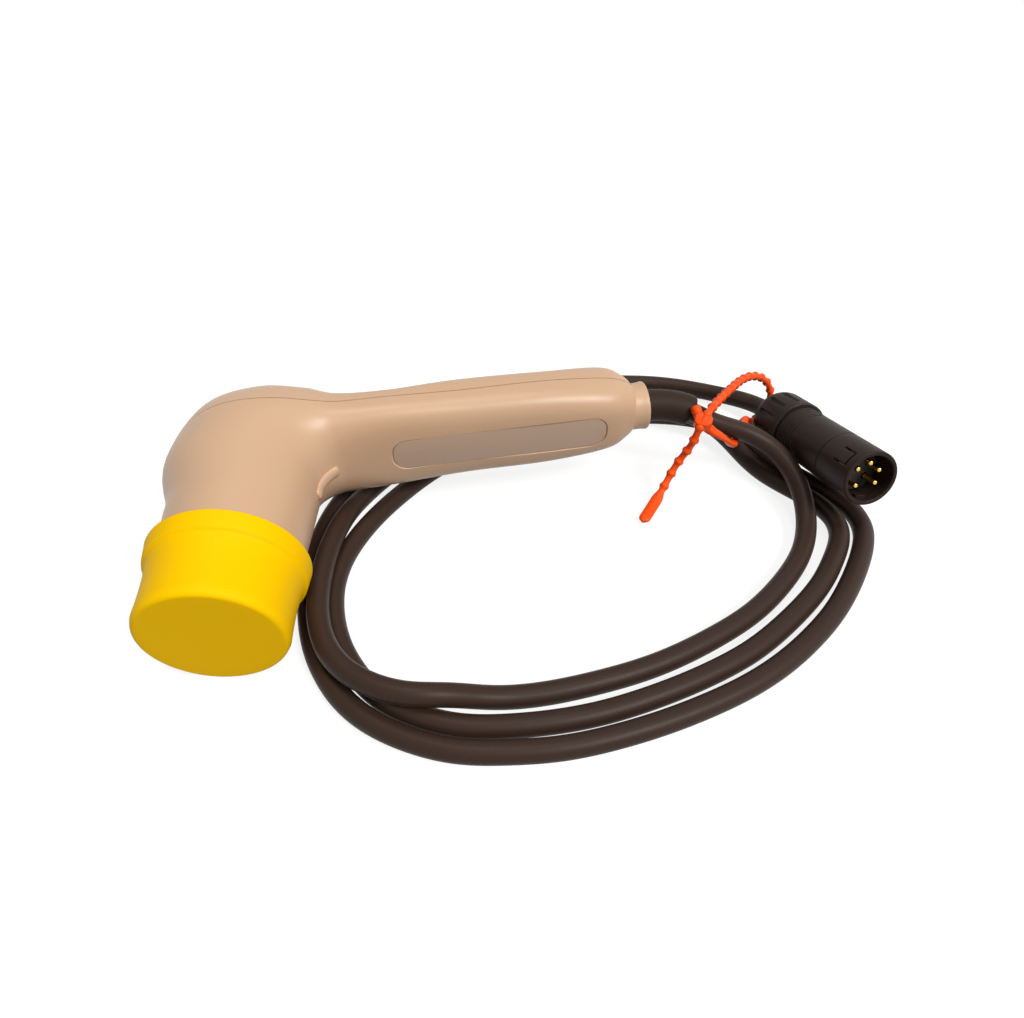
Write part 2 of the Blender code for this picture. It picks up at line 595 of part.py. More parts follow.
def housing_body(name, look, sections, region, operation):
    """The skin with its collar, parted at the seam, then hollowed and bored for the boot."""
    body = loft(name, HEAD, [section_ring(s) for s in sections], look)
    collar = turned(name + "_collar", COLLAR, [
        (0, COLLAR_MOUTH),
        (COLLAR_RADIUS + COLLAR_FLARE - PLUG_EDGE, COLLAR_MOUTH),
        (COLLAR_RADIUS + COLLAR_FLARE, COLLAR_MOUTH - PLUG_EDGE),
        (COLLAR_RADIUS, COLLAR_MOUTH - COLLAR_LIP),
        (COLLAR_RADIUS, COLLAR_START),
        (0, COLLAR_START),
    ])
    boolean(body, collar, "UNION")
    boolean(body, region, operation)
    mouth = [list(sections[0]) for _ in range(2)]
    mouth[0][1] -= WALL
    mouth[0][3] -= WALL
    inside = [s for s in sections[1:] if handle_distance(s) < BOOT_SEAT]
    cavity = loft(name + "_cavity", HEAD, [section_ring(s, WALL, 28) for s in mouth + inside])
    boolean(body, cavity)
    bore = turned(name + "_boot_bore", COLLAR, [
        (0, COLLAR_MOUTH + WALL),
        (BOOT_RADIUS + SEAT_GAP, COLLAR_MOUTH + WALL),
        (BOOT_RADIUS + SEAT_GAP, BOOT_SEAT),
        (BOOT_FLANGE_RADIUS + SEAT_GAP, BOOT_SEAT),
        (BOOT_FLANGE_RADIUS + SEAT_GAP, BOOT_SEAT - FLANGE_ROOM),
        (0, BOOT_SEAT - FLANGE_ROOM),
    ])
    boolean(body, bore)
    return body


def boss(name, at, side, radius, base, top):
    return turned(name, DEPTH, [(0, top), (radius, top), (radius, base), (0, base)],
                  location=(at, side, 0), steps=20)


def screw_hole(name, at, side, top, depth):
    radius = SCREW_SHANK + SEAT_GAP
    return turned(name, DEPTH, [(0, top), (radius, top), (radius, top - depth), (0, top - depth)],
                  location=(at, side, 0), steps=16)


def front_housing(sections):
    """Neck, front half of the knuckle and handle, recess, elbow rib, collar, bosses and posts."""
    reach = CUT_REACH
    length = COVER_END + reach
    space = block("cover_space", HANDLE, (length, reach, 2 * reach),
                  location=(COVER_END - length / 2, PARTING_DEPTH + reach / 2, 0))
    body = housing_body("front_housing", BEIGE, sections, space, "DIFFERENCE")
    recess = block("label_recess", LABEL, (LABEL_LENGTH, 2 * reach, LABEL_HEIGHT), LABEL_CORNER,
                   location=(0, LABEL_RECESS - reach, 0), axis=1)
    boolean(body, recess)

    first = round(RIB_SPAN[0] * RINGS_PER_SECTION) + 3 * RINGS_PER_SECTION
    last = round(RIB_SPAN[1] * RINGS_PER_SECTION) + 2 * RINGS_PER_SECTION
    line = []
    for section in sections[first:last]:
        inner = Vector((section[0], section[1], 0))
        outer = Vector((section[2], section[3], 0))
        line.append(inner + (inner - outer).normalized() * (RIB_PROUD - RIB_RADIUS))
    rib = as_mesh(tube("elbow_rib", HEAD, line, RIB_RADIUS))
    boolean(body, rib, "UNION")

    board_seat = BOARD_FRONT - SEAT_GAP
    for i, (at, side, root) in enumerate(BOARD_BOSSES, 1):
        boolean(body, boss(f"board_boss_{i}", at, side, BOSS_RADIUS, root, board_seat), "UNION")
        hole_depth = SCREW_LENGTH - BOARD_THICKNESS - SEAT_GAP
        boolean(body, screw_hole(f"board_boss_hole_{i}", at, side, board_seat + WALL, hole_depth + WALL))
    clamp_seat = COLLAR_DEPTH + CABLE_DIAMETER / 2
    for i, side in enumerate((-CLAMP_POST_SPACING / 2, CLAMP_POST_SPACING / 2), 1):
        post = boss(f"clamp_post_{i}", CLAMP_AT, side, CLAMP_POST_RADIUS, CLAMP_ROOT, clamp_seat)
        boolean(body, post, "UNION")
        hole = screw_hole(f"clamp_post_hole_{i}", CLAMP_AT, side, clamp_seat + WALL,
                          CLAMP_SCREW_LENGTH + WALL)
        boolean(body, hole)
    saddle_top = COLLAR_DEPTH - CABLE_DIAMETER / 2 - SEAT_GAP
    saddle = block("clamp_saddle", DEPTH, (CLAMP_SIZE[0], SADDLE_WIDTH, saddle_top - CLAMP_ROOT),
                   location=(CLAMP_AT, 0, (saddle_top + CLAMP_ROOT) / 2))
    boolean(body, saddle, "UNION")


def back_cover(sections):
    """The rear half of the knuckle and handle."""
    reach = CUT_REACH
    end = COVER_END - SEAT_GAP
    kept = block("cover_region", HANDLE, (end + reach, reach, 2 * reach),
                 location=((end - reach) / 2, PARTING_DEPTH + SEAT_GAP + reach / 2, 0))
    housing_body("back_cover", BEIGE_BACK, sections, kept, "INTERSECT")


def label_plate():
    thickness = LABEL_THICKNESS
    depth = LABEL_RECESS - SEAT_GAP - thickness / 2
    block("label_plate", LABEL, (LABEL_LENGTH - 2 * SEAT_GAP, thickness, LABEL_HEIGHT - 2 * SEAT_GAP),
          LABEL_CORNER - SEAT_GAP, GREY_PLATE, location=(0, depth, 0), axis=1)


def applicator_side(at):
    """The applicator's outer radius between its shoulder and its face."""
    share = (at - NECK_MOUTH_AT) / (FACE_AT - NECK_MOUTH_AT)
    return NECK_MOUTH_RADIUS + (FACE_RADIUS - NECK_MOUTH_RADIUS) * share


def treatment_face():
    """Applicator, seal, crystal, holder ring, spring and contact carrier, on the neck's axis."""
    seal_bore = neck_radius(SEAL_AT) - WALL
    seal_half = SEAL_CORD / 2
    seal_centre = seal_bore - SEAT_GAP - seal_half
    groove_bottom = seal_centre - seal_half - SEAT_GAP
    groove_half = seal_half + SEAT_GAP
    shoulder = NECK_MOUTH_AT + SEAT_GAP
    face_inner = FACE_AT - FACE_THICKNESS
    edge = arc((FACE_RADIUS - FACE_EDGE, FACE_AT - FACE_EDGE), FACE_EDGE, 90, 0)
    turned("applicator", NECK, [
        (0, FACE_AT), *edge,
        (applicator_side(shoulder), shoulder), (SPIGOT_RADIUS, shoulder),
        (SPIGOT_RADIUS, SEAL_AT + groove_half), (groove_bottom, SEAL_AT + groove_half),
        (groove_bottom, SEAL_AT - groove_half), (SPIGOT_RADIUS, SEAL_AT - groove_half),
        (SPIGOT_RADIUS, SPIGOT_INNER_AT), (SPIGOT_BORE, SPIGOT_INNER_AT),
        (SPIGOT_BORE, face_inner), (0, face_inner),
    ], ALUMINIUM)
    ring = [(seal_centre + x, SEAL_AT + z) for x, z in arc((0, 0), seal_half, 90, -270, 10)[:-1]]
    turned("applicator_seal", NECK, ring, SEAL_RUBBER, closed=True)

    crystal_top = face_inner - SEAT_GAP
    crystal_base = crystal_top - CRYSTAL_THICKNESS
    turned("piezo_crystal", NECK, [
        (0, crystal_top), (CRYSTAL_RADIUS, crystal_top),
        (CRYSTAL_RADIUS, crystal_base), (0, crystal_base),
    ], CERAMIC)
    holder_base = crystal_top - HOLDER_HEIGHT
    turned("crystal_holder", NECK, [
        (HOLDER_RADIUS, crystal_top), (HOLDER_RADIUS, holder_base),
        (HOLDER_BORE, holder_base), (HOLDER_BORE, crystal_top),
    ], INSULATOR, closed=True)
    carrier_top = CARRIER_AT + CARRIER_THICKNESS
    turned("contact_carrier", NECK, [
        (0, carrier_top), (HOLDER_RADIUS, carrier_top), (HOLDER_RADIUS, CARRIER_AT), (0, CARRIER_AT),
    ], INSULATOR)
    wire = SPRING_WIRE / 2
    low = carrier_top + SEAT_GAP + wire
    high = crystal_base - SEAT_GAP - wire
    steps = 12 * SPRING_TURNS
    coil = []
    for i in range(steps + 1):
        angle = 2 * math.pi * i / 12
        share = min(max((i - 6) / (steps - 12), 0), 1)
        coil.append((SPRING_RADIUS * math.cos(angle), SPRING_RADIUS * math.sin(angle),
                     low + (high - low) * share))
    tube("contact_spring", NECK, coil, wire, SPRING_STEEL, 1)


def protective_cap():
    """The push-on cap: its inside follows the applicator and the neck, its outside a soft cone."""
    rim_at = CAP_END_AT - CAP_LENGTH
    slope = (CAP_RIM_RADIUS - CAP_END_RADIUS) / CAP_LENGTH

    def cone(at):
        return CAP_END_RADIUS + slope * (CAP_END_AT - at)

    band_at = rim_at + CAP_BAND
    waist_at = (band_at + CAP_END_AT) / 2
    inner_end = FACE_AT + SEAT_GAP
    inner_edge = FACE_RADIUS + SEAT_GAP
    end_arc = arc((CAP_END_RADIUS - CAP_EDGE, CAP_END_AT - CAP_EDGE), CAP_EDGE, 90, 8)
    turned("protective_cap", NECK, [
        (0, CAP_END_AT), *end_arc,
        (cone(waist_at) - CAP_WAIST, waist_at),
        (cone(band_at) - CAP_STEP, band_at + CAP_STEP),
        (cone(band_at), band_at - CAP_STEP / 2),
        (CAP_RIM_RADIUS, rim_at + CAP_RIM_ROUND),
        (CAP_RIM_RADIUS - CAP_RIM_ROUND, rim_at),
        (neck_radius(rim_at) + SEAT_GAP, rim_at),
        (NECK_MOUTH_RADIUS + SEAT_GAP, NECK_MOUTH_AT),
        (applicator_side(FACE_AT - FACE_EDGE) + SEAT_GAP, FACE_AT - FACE_EDGE),
        (inner_edge - FACE_EDGE, inner_end),
        (0, inner_end),
    ], YELLOW, steps=48)


def screw(name, at, side, seat, length):
    """A pan-head screw whose head stands on a seat, in the handle's depth."""
    top = seat + SEAT_GAP + SCREW_HEAD_HEIGHT
    turned(name, DEPTH, [
        (0, top), (SCREW_HEAD * 0.7, top), (SCREW_HEAD, top - SCREW_HEAD_HEIGHT * 0.4),
        (SCREW_HEAD, seat + SEAT_GAP), (SCREW_SHANK, seat + SEAT_GAP),
        (SCREW_SHANK, seat + SEAT_GAP - length + SEAT_GAP), (0, seat + SEAT_GAP - length + SEAT_GAP),
    ], SCREW_STEEL, location=(at, side, 0), steps=16)


def board():
    """The matching board on its bosses, its coil, capacitor and screws."""
    rear = BOARD_FRONT + BOARD_THICKNESS
    centre = BOARD_START + BOARD_LENGTH / 2
    plate = block("matching_board", DEPTH, (BOARD_LENGTH, BOARD_WIDTH, BOARD_THICKNESS), 0.0015,
                  BOARD_GREEN, location=(centre, 0, BOARD_FRONT + BOARD_THICKNESS / 2))
    for i, (at, side, _) in enumerate(BOARD_BOSSES, 1):
        boolean(plate, screw_hole(f"board_hole_{i}", at, side, rear + WALL, 2 * WALL + BOARD_THICKNESS))
        screw(f"board_screw_{i}", at, side, rear, SCREW_LENGTH)
    foot = rear + SEAT_GAP
    flange = COIL_HEIGHT * 0.15
    turned("matching_coil", DEPTH, [
        (0, foot + COIL_HEIGHT), (COIL_RADIUS, foot + COIL_HEIGHT),
        (COIL_RADIUS, foot + COIL_HEIGHT - flange), (COIL_RADIUS * 0.85, foot + COIL_HEIGHT - flange),
        (COIL_RADIUS * 0.85, foot + flange), (COIL_RADIUS, foot + flange),
        (COIL_RADIUS, foot), (0, foot),
    ], FERRITE, location=(COIL_AT, 0, 0), steps=24)
    block("capacitor", DEPTH, CAPACITOR_SIZE, 0.0010, CAPACITOR_BLUE,
          location=(CAPACITOR_AT, 0, foot + CAPACITOR_SIZE[2] / 2))


def in_head(point, parent):
    """A point of one of the head's own frames, in the head's frame."""
    return HEAD.matrix_world.inverted() @ parent.matrix_world @ Vector(point)


def leads():
    """Two leads from the board to the treatment face, and two cores from the cable to the board."""
    on_board = BOARD_FRONT + BOARD_THICKNESS + SEAT_GAP + LEAD_RADIUS
    carrier = -(CARRIER_AT - SEAT_GAP)
    spigot_middle = SPIGOT_RADIUS - SPIGOT_WALL / 2
    rim = -(SPIGOT_INNER_AT - SEAT_GAP)
    pad_at = BOARD_START + PAD_FROM_END
    off_board = BOARD_START - LEAD_OVERHANG
    signal = [
        in_head((pad_at, on_board, SIGNAL_PAD), HANDLE),
        in_head((off_board, on_board + LEAD_RISE, SIGNAL_BEND), HANDLE),
        *SIGNAL_ROUTE,
        (0.0, carrier, 0.0),
    ]
    ground = [
        in_head((pad_at, on_board, GROUND_PAD), HANDLE),
        in_head((off_board, on_board + LEAD_RISE, GROUND_PAD), HANDLE),
        *GROUND_ROUTE,
        (*GROUND_LAST, spigot_middle - GROUND_STANDS_IN),
        (0.0, rim, spigot_middle),
    ]
    tube("signal_lead", HEAD, spline_points(signal, 4), LEAD_RADIUS, RED_LEAD, 1)
    tube("ground_lead", HEAD, spline_points(ground, 4), LEAD_RADIUS, BLACK_LEAD, 1)
    board_end = BOARD_START + BOARD_LENGTH
    for name, side, look in (("signal_core", CORE_SIDE, RED_LEAD), ("ground_core", -CORE_SIDE, BLACK_LEAD)):
        spread = [side * share for share in CORE_SPREAD]
        core = [
            in_head((CABLE_START - SEAT_GAP, COLLAR_DEPTH, spread[0]), HANDLE),
            in_head((CABLE_START - CORE_FREE, COLLAR_DEPTH, spread[1]), HANDLE),
            in_head((board_end + CORE_OVERHANG, on_board + LEAD_RISE / 2, spread[2]), HANDLE),
            in_head((board_end - CORE_PAD_FROM_END, on_board, spread[3]), HANDLE),
        ]
        tube(name, HEAD, spline_points(core, 4), LEAD_RADIUS, look, 1)


def cable_clamp():
    """The bar over the cable that takes its pull, and its two screws."""
    seat = COLLAR_DEPTH + CABLE_DIAMETER / 2 + SEAT_GAP
    bar = block("cable_clamp", DEPTH, CLAMP_SIZE, 0.0012, CLAMP_PLASTIC,
                location=(CLAMP_AT, 0, seat + CLAMP_SIZE[2] / 2))
    top = seat + CLAMP_SIZE[2]
    for i, side in enumerate((-CLAMP_POST_SPACING / 2, CLAMP_POST_SPACING / 2), 1):
        boolean(bar, screw_hole(f"clamp_hole_{i}", CLAMP_AT, side, top + WALL, CLAMP_SIZE[2] + 2 * WALL))
        screw(f"clamp_screw_{i}", CLAMP_AT, side, top, CLAMP_SCREW_LENGTH)


def plug_point(behind):
    return Vector(PLUG_MOUTH) - PLUG_DIRECTION * behind


def cable_path():
    """The cable's centre line, point by point a millimetre apart."""
    handle = TABLE.matrix_world.inverted() @ HANDLE.matrix_world
    inside = [(CABLE_START, COLLAR_DEPTH, 0), ((CABLE_START + COLLAR_MOUTH) / 2, COLLAR_DEPTH, 0),
              (COLLAR_MOUTH, COLLAR_DEPTH, 0), BOOT_MIDDLE, BOOT_MOUTH]
    points = [handle @ Vector(p) for p in inside]
    points += [Vector(p) for p in CABLE_ROUTE]
    points += [plug_point(behind) for behind in CABLE_IN_PLUG]
    return relaxed(even_points(spline_points(points, 6), 0.001))


def along(path, distance):
    """The point of a path at a distance from its start, and the direction there."""
    run = 0.0
    for a, b in zip(path, path[1:]):
        step = (b - a).length
        if run + step >= distance:
            return a.lerp(b, (distance - run) / step), (b - a).normalized()
        run += step
    return path[-1].copy(), (path[-1] - path[-2]).normalized()


def ring_about(centre, direction, half_width, half_thickness, count):
    """A ring of points square to a direction, its width level."""
    side = direction.cross(Vector((0, 0, 1))).normalized()
    up = side.cross(direction)
    ring = []
    for i in range(count):
        angle = 2 * math.pi * i / count
        ring.append(centre + side * math.cos(angle) * half_width + up * math.sin(angle) * half_thickness)
    return ring


def strain_relief_boot(path):
    """A flanged sleeve on the cable's own centre line, bored through for it."""
    start = BOOT_SEAT - SEAT_GAP - BOOT_FLANGE - CABLE_START
    seat = start + BOOT_FLANGE
    end = COLLAR_MOUTH - CABLE_START + BOOT_VISIBLE
    bore = CABLE_DIAMETER / 2 + CABLE_CLEARANCE
    outside = [(start, BOOT_FLANGE_RADIUS), (seat, BOOT_FLANGE_RADIUS), (seat, BOOT_RADIUS)]
    straight = 6
    last = end - BOOT_EDGE
    for i in range(1, straight + 1):
        outside.append((seat + (last - seat) * i / straight, BOOT_RADIUS))
    outside += [(last + BOOT_EDGE * 0.6, BOOT_RADIUS - BOOT_EDGE * 0.2),
                (end, BOOT_RADIUS - BOOT_EDGE * 0.7)]
    inside = [(end + (start - end) * i / straight, bore) for i in range(straight + 1)]
    rings = []
    for distance, radius in outside + inside:
        centre, direction = along(path, distance)
        rings.append(ring_about(centre, direction, radius, radius, BOOT_SIDES))
    loft("strain_relief_boot", TABLE, rings, BOOT_RUBBER, closed=True)


def cable(path):
    """The free cable as one tube, with points closer together where it bends."""
    chosen = [path[0]]
    travelled = 0.0
    turned_by = 0.0
    for before, here, after in zip(path, path[1:], path[2:]):
        travelled += (here - before).length
        turned_by += (here - before).angle(after - here)
        if travelled > CABLE_LONGEST_STEP or travelled * turned_by / 8 > CABLE_SAG_OF_CHORD:
            chosen.append(here)
            travelled = 0.0
            turned_by = 0.0
    if (path[-1] - chosen[-1]).length < CABLE_DIAMETER:
        chosen.pop()
    chosen.append(path[-1])
    tube("cable", TABLE, chosen, CABLE_DIAMETER / 2, CABLE_RUBBER, 3)


def plug():
    """Front sleeve with its latch tab, body, pin insert and pins, gland and clamp nut."""
    mouth_edge = [(PLUG_RADIUS - PLUG_EDGE, 0), (PLUG_RADIUS, -PLUG_EDGE)]
    sleeve_end = -(SLEEVE_LENGTH - SEAT_GAP / 2)
    sleeve = turned("plug_sleeve", PLUG, [
        *mouth_edge,
        (PLUG_RADIUS, sleeve_end + PLUG_EDGE), (PLUG_RADIUS - PLUG_EDGE, sleeve_end),
        (PLUG_BORE, sleeve_end), (PLUG_BORE, -PLUG_EDGE), (PLUG_BORE + PLUG_EDGE, 0),
    ], PLUG_BLACK, closed=True)
    wall = PLUG_RADIUS - PLUG_BORE
    middle = (PLUG_RADIUS + PLUG_BORE) / 2
    turn = (0, 0, LATCH_ANGLE)
    mount = frame("latch_frame", PLUG, rotation=turn)
    for side in (-1, 1):
        slot = block(f"latch_slot_{side + 2}", mount, (3 * wall, LATCH_SLOT, LATCH_LENGTH),
                     location=(middle, side * LATCH_WIDTH / 2, -LATCH_FRONT - LATCH_LENGTH / 2))
        boolean(sleeve, slot)

    body_start = -(SLEEVE_LENGTH + SEAT_GAP / 2)
    body_end = -(BODY_END - SEAT_GAP / 2)
    turned("plug_body", PLUG, [
        (PLUG_RADIUS - PLUG_EDGE, body_start), (PLUG_RADIUS, body_start - PLUG_EDGE),
        (PLUG_RADIUS, body_end + PLUG_EDGE), (PLUG_RADIUS - PLUG_EDGE, body_end),
        (BODY_SPIGOT_RADIUS, body_end), (BODY_SPIGOT_RADIUS, -BODY_SPIGOT_END),
        (BODY_BORE, -BODY_SPIGOT_END), (BODY_BORE, body_start),
    ], PLUG_BLACK, closed=True)

    insert_radius = PLUG_BORE - SEAT_GAP
    insert_base = -(INSERT_FRONT + INSERT_THICKNESS)
    insert = turned("pin_insert", PLUG, [
        (0, -INSERT_FRONT), (insert_radius, -INSERT_FRONT), (insert_radius, insert_base), (0, insert_base),
    ], PLUG_BLACK)
    for i, degrees in enumerate(PIN_ANGLES, 1):
        angle = math.radians(degrees)
        place = (PIN_CIRCLE * math.cos(angle), PIN_CIRCLE * math.sin(angle), 0)
        hole_radius = PIN_RADIUS + SEAT_GAP
        hole = turned(f"pin_hole_{i}", PLUG, [
            (0, -INSERT_FRONT + WALL), (hole_radius, -INSERT_FRONT + WALL),
            (hole_radius, insert_base - WALL), (0, insert_base - WALL),
        ], location=place, steps=12)
        boolean(insert, hole)
        tip = -PIN_FRONT
        tail = insert_base - PIN_TAIL
        turned(f"contact_pin_{i}", PLUG, [
            (0, tip), (PIN_RADIUS * 0.6, tip - PIN_RADIUS * 0.2), (PIN_RADIUS, tip - PIN_RADIUS),
            (PIN_RADIUS, tail), (0, tail),
        ], GOLD, location=place, steps=12)

    nut_start = -(BODY_END + SEAT_GAP / 2)
    thread_bore = BODY_SPIGOT_RADIUS + SEAT_GAP
    cable_bore = CABLE_DIAMETER / 2 + SEAT_GAP
    rear_wall = -(NUT_END - NUT_REAR_WALL)
    nut = turned("clamp_nut", PLUG, [
        (NUT_RADIUS - PLUG_EDGE, nut_start), (NUT_RADIUS, nut_start - PLUG_EDGE),
        (NUT_RADIUS, -(NUT_END - NUT_ROUND)),
        (NUT_RADIUS * 0.35 + NUT_REAR_RADIUS * 0.65, -(NUT_END - NUT_ROUND * 0.35)),
        (NUT_REAR_RADIUS - PLUG_EDGE, -NUT_END), (cable_bore, -NUT_END),
        (cable_bore, rear_wall), (thread_bore, rear_wall), (thread_bore, nut_start),
    ], PLUG_BLACK, closed=True)
    for i in range(NUT_GROOVES):
        mount = frame(f"groove_frame_{i + 1}", PLUG, rotation=(0, 0, 2 * math.pi * i / NUT_GROOVES))
        start = nut_start - NUT_GROOVE_FROM_FACE
        groove = turned(f"nut_groove_{i + 1}", mount, [
            (0, start), (NUT_GROOVE_RADIUS, start - NUT_GROOVE_RADIUS),
            (NUT_GROOVE_RADIUS, start - NUT_GROOVE_LENGTH), (0, start - NUT_GROOVE_LENGTH - NUT_GROOVE_RADIUS),
        ], location=(NUT_RADIUS + NUT_GROOVE_RADIUS * 0.25, 0, 0), steps=8)
        boolean(nut, groove)

    gland_top = -(BODY_SPIGOT_END + SEAT_GAP)
    gland_base = rear_wall + SEAT_GAP
    gland_outer = thread_bore - SEAT_GAP
    turned("cable_gland", PLUG, [
        (gland_outer, gland_top), (gland_outer, gland_base),
        (cable_bore, gland_base), (cable_bore, gland_top),
    ], GLAND_RUBBER, closed=True, steps=24)


def cable_tie():
    """One beaded strap: knob, loop round the cable, through its own eye, and the flat tail."""
    path = relaxed(even_points(spline_points(TIE_ROUTE, 8), 0.00065), 3, 2)
    total = sum((b - a).length for a, b in zip(path, path[1:]))
    step = TIE_PITCH / 4
    count = int(total / step)
    rings = []
    for i in range(count + 1):
        distance = total * i / count
        centre, direction = along(path, distance)
        left = total - distance
        bead = 0.5 - 0.5 * math.cos(2 * math.pi * distance / TIE_PITCH)
        wide = thick = TIE_NECK + (TIE_BEAD - TIE_NECK) * bead
        if left < TIE_PADDLE_LENGTH:
            share = math.sin(math.pi * min(1.0, 0.12 + left / TIE_PADDLE_LENGTH) * 0.9)
            wide = TIE_NECK * 0.8 + (TIE_PADDLE[0] - TIE_NECK * 0.8) * share
            thick = TIE_PADDLE[1]
        rings.append(ring_about(centre, direction, wide, thick, 8))
    strap = loft("cable_tie", TABLE, rings, TIE_ORANGE)
    eye = block("tie_eye", TABLE, TIE_EYE, 0.0012, location=TIE_EYE_PLACE,
                rotation=TIE_EYE_TURN)
    boolean(strap, eye, "UNION")


def main():
    sections = housing_sections()
    front_housing(sections)
    back_cover(sections)
    label_plate()
    treatment_face()
    protective_cap()
    board()
    leads()
    cable_clamp()
    path = cable_path()
    strain_relief_boot(path)
    cable(path)
    plug()
    cable_tie()
    bpy.context.view_layer.update()


main()
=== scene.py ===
"""Looks of an ultrasound therapy head that lies on its coiled cable, laid out as an add-on.

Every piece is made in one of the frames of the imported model: the table, the head, its neck, its
handle, the cable collar, the label and the plug. Sizes are in metres.
"""

import math
from itertools import accumulate

import bmesh
import bpy
from bpy.props import FloatProperty, FloatVectorProperty, PointerProperty
from mathutils import Euler, Matrix, Vector


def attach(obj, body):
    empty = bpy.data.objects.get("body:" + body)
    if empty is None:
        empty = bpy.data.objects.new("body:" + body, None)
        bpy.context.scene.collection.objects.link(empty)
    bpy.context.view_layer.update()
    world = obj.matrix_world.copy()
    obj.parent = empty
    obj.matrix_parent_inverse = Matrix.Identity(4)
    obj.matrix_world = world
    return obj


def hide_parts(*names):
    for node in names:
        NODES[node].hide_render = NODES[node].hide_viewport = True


bl_info = {
    "name": "Ultrasound Therapy Head",
    "version": (1, 0, 0),
    "blender": (4, 5, 0),
    "location": "View3D > Sidebar > Therapy Head",
    "description": "Builds an ultrasound therapy head with its cable, plug, cable tie and studio",
    "category": "Object",
}

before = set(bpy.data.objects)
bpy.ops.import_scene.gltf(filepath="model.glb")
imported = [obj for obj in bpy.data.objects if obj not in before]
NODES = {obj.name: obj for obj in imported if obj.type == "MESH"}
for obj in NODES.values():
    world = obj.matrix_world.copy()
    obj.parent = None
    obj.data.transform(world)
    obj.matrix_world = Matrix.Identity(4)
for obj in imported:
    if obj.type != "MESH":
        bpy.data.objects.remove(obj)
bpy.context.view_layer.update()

# ---- sizes shared with the solids
SEAT_GAP = 0.0003
WELD = 0.000001
WALL = 0.0022
NECK_MOUTH_AT = 0.062
NECK_MOUTH_RADIUS = 0.0201
NECK_ROOT_AT = 0.0375
NECK_ROOT_RADIUS = 0.0219
HANDLE_YAW = math.radians(8.5)
PARTING_DEPTH = -0.0097
RINGS_PER_SECTION = 6
SHARP_EDGE = math.radians(60)
# Each section: inner end x, y, outer end x, y, half height across the head, and squareness
ELBOW_AND_HANDLE_SECTIONS = [
    (0.0225, -0.0290, -0.0262, -0.0215, 0.0231, 2.0),
    (0.0229, -0.0252, -0.0200, 0.0005, 0.0236, 2.0),
    (0.0245, -0.0216, -0.0036, 0.0095, 0.0223, 2.05),
    (0.0272, -0.0186, 0.0141, 0.0092, 0.0197, 2.3),
    (0.0318, -0.0163, 0.0263, 0.0054, 0.0180, 2.7),
    (0.0460, -0.0131, 0.0434, 0.0057, 0.0175, 3.1),
    (0.0690, -0.0099, 0.0660, 0.0117, 0.0164, 3.1),
    (0.0980, -0.0066, 0.0950, 0.0154, 0.0158, 3.1),
    (0.1185, -0.0037, 0.1155, 0.0198, 0.0136, 2.9),
    (0.1257, -0.0006, 0.1230, 0.0185, 0.0109, 2.4),
    (0.1284, 0.0013, 0.1262, 0.0163, 0.0082, 2.0),
]
COVER_END = 0.1268
COLLAR_DEPTH = -0.0104
COLLAR_START = 0.1240
COLLAR_MOUTH = 0.1318
COLLAR_RADIUS = 0.0081
COLLAR_FLARE = 0.0003
COLLAR_EDGE = 0.0004
# The collar's flare behind its mouth: how proud its middle stands, and how far back that is
COLLAR_FLARE_MIDDLE = (0.0001, 0.0016)
COLLAR_FLARE_LENGTH = 0.003
BOOT_SEAT = 0.1210
FLANGE_ROOM = 0.0036
LABEL_CENTRE = (0.0812, -0.0085)
LABEL_YAW = math.radians(7.2)
LABEL_LENGTH = 0.0748
LABEL_HEIGHT = 0.0145
LABEL_CORNER = 0.0062
LABEL_RECESS = 0.0011
LABEL_THICKNESS = 0.0005
LABEL_EDGE = 0.00012
FACE_AT = 0.0792
FACE_RADIUS = 0.0186
FACE_EDGE = 0.0009
CAP_END_AT = 0.0815
CAP_LENGTH = 0.0264
CAP_END_RADIUS = 0.02075
CAP_RIM_RADIUS = 0.02355
CAP_BAND = 0.0058
CAP_WAIST = 0.0003
CAP_EDGE = 0.0016
CAP_RIM_ROUND = 0.0005
# Radii of the points on the cap's flat end, and how far in its band starts and ends
CAP_END_POINTS = (0, 0.010, 0.017)
CAP_BAND_BY_STEP = 0.0006
CAP_BAND_BY_RIM = 0.0004
BOARD_THICKNESS = 0.0016
BOARD_FRONT = -0.0145
BOSS_RADIUS = 0.0030
# Each boss: its place along the handle, across it, and the depth of its root in the wall
BOARD_BOSSES = ((0.0460, 0.0080, -0.0182), (0.0860, -0.0080, -0.0189))
SCREW_SHANK = 0.0009
SCREW_LENGTH = 0.0050
CLAMP_AT = 0.1090
CLAMP_SIZE = (0.0050, 0.0196, 0.0022)
CLAMP_POST_RADIUS = 0.0024
CLAMP_POST_SPACING = 0.0146
CLAMP_ROOT = -0.0194
CLAMP_SCREW_LENGTH = 0.0060
SADDLE_WIDTH = 0.0050
BOOT_RADIUS = 0.0056
BOOT_EDGE = 0.0016
BOOT_LIP = 0.0001
BOOT_POINTS = 22
CABLE_DIAMETER = 0.0068
BOOT_FLANGE_RADIUS = 0.0074
BOOT_FLANGE = 0.0022
BOOT_VISIBLE = 0.0178
CABLE_CLEARANCE = 0.0006
CABLE_START = 0.1045
BOOT_MIDDLE = (0.1406, -0.0113, -0.0006)
BOOT_MOUTH = (0.1490, -0.0140, -0.0022)
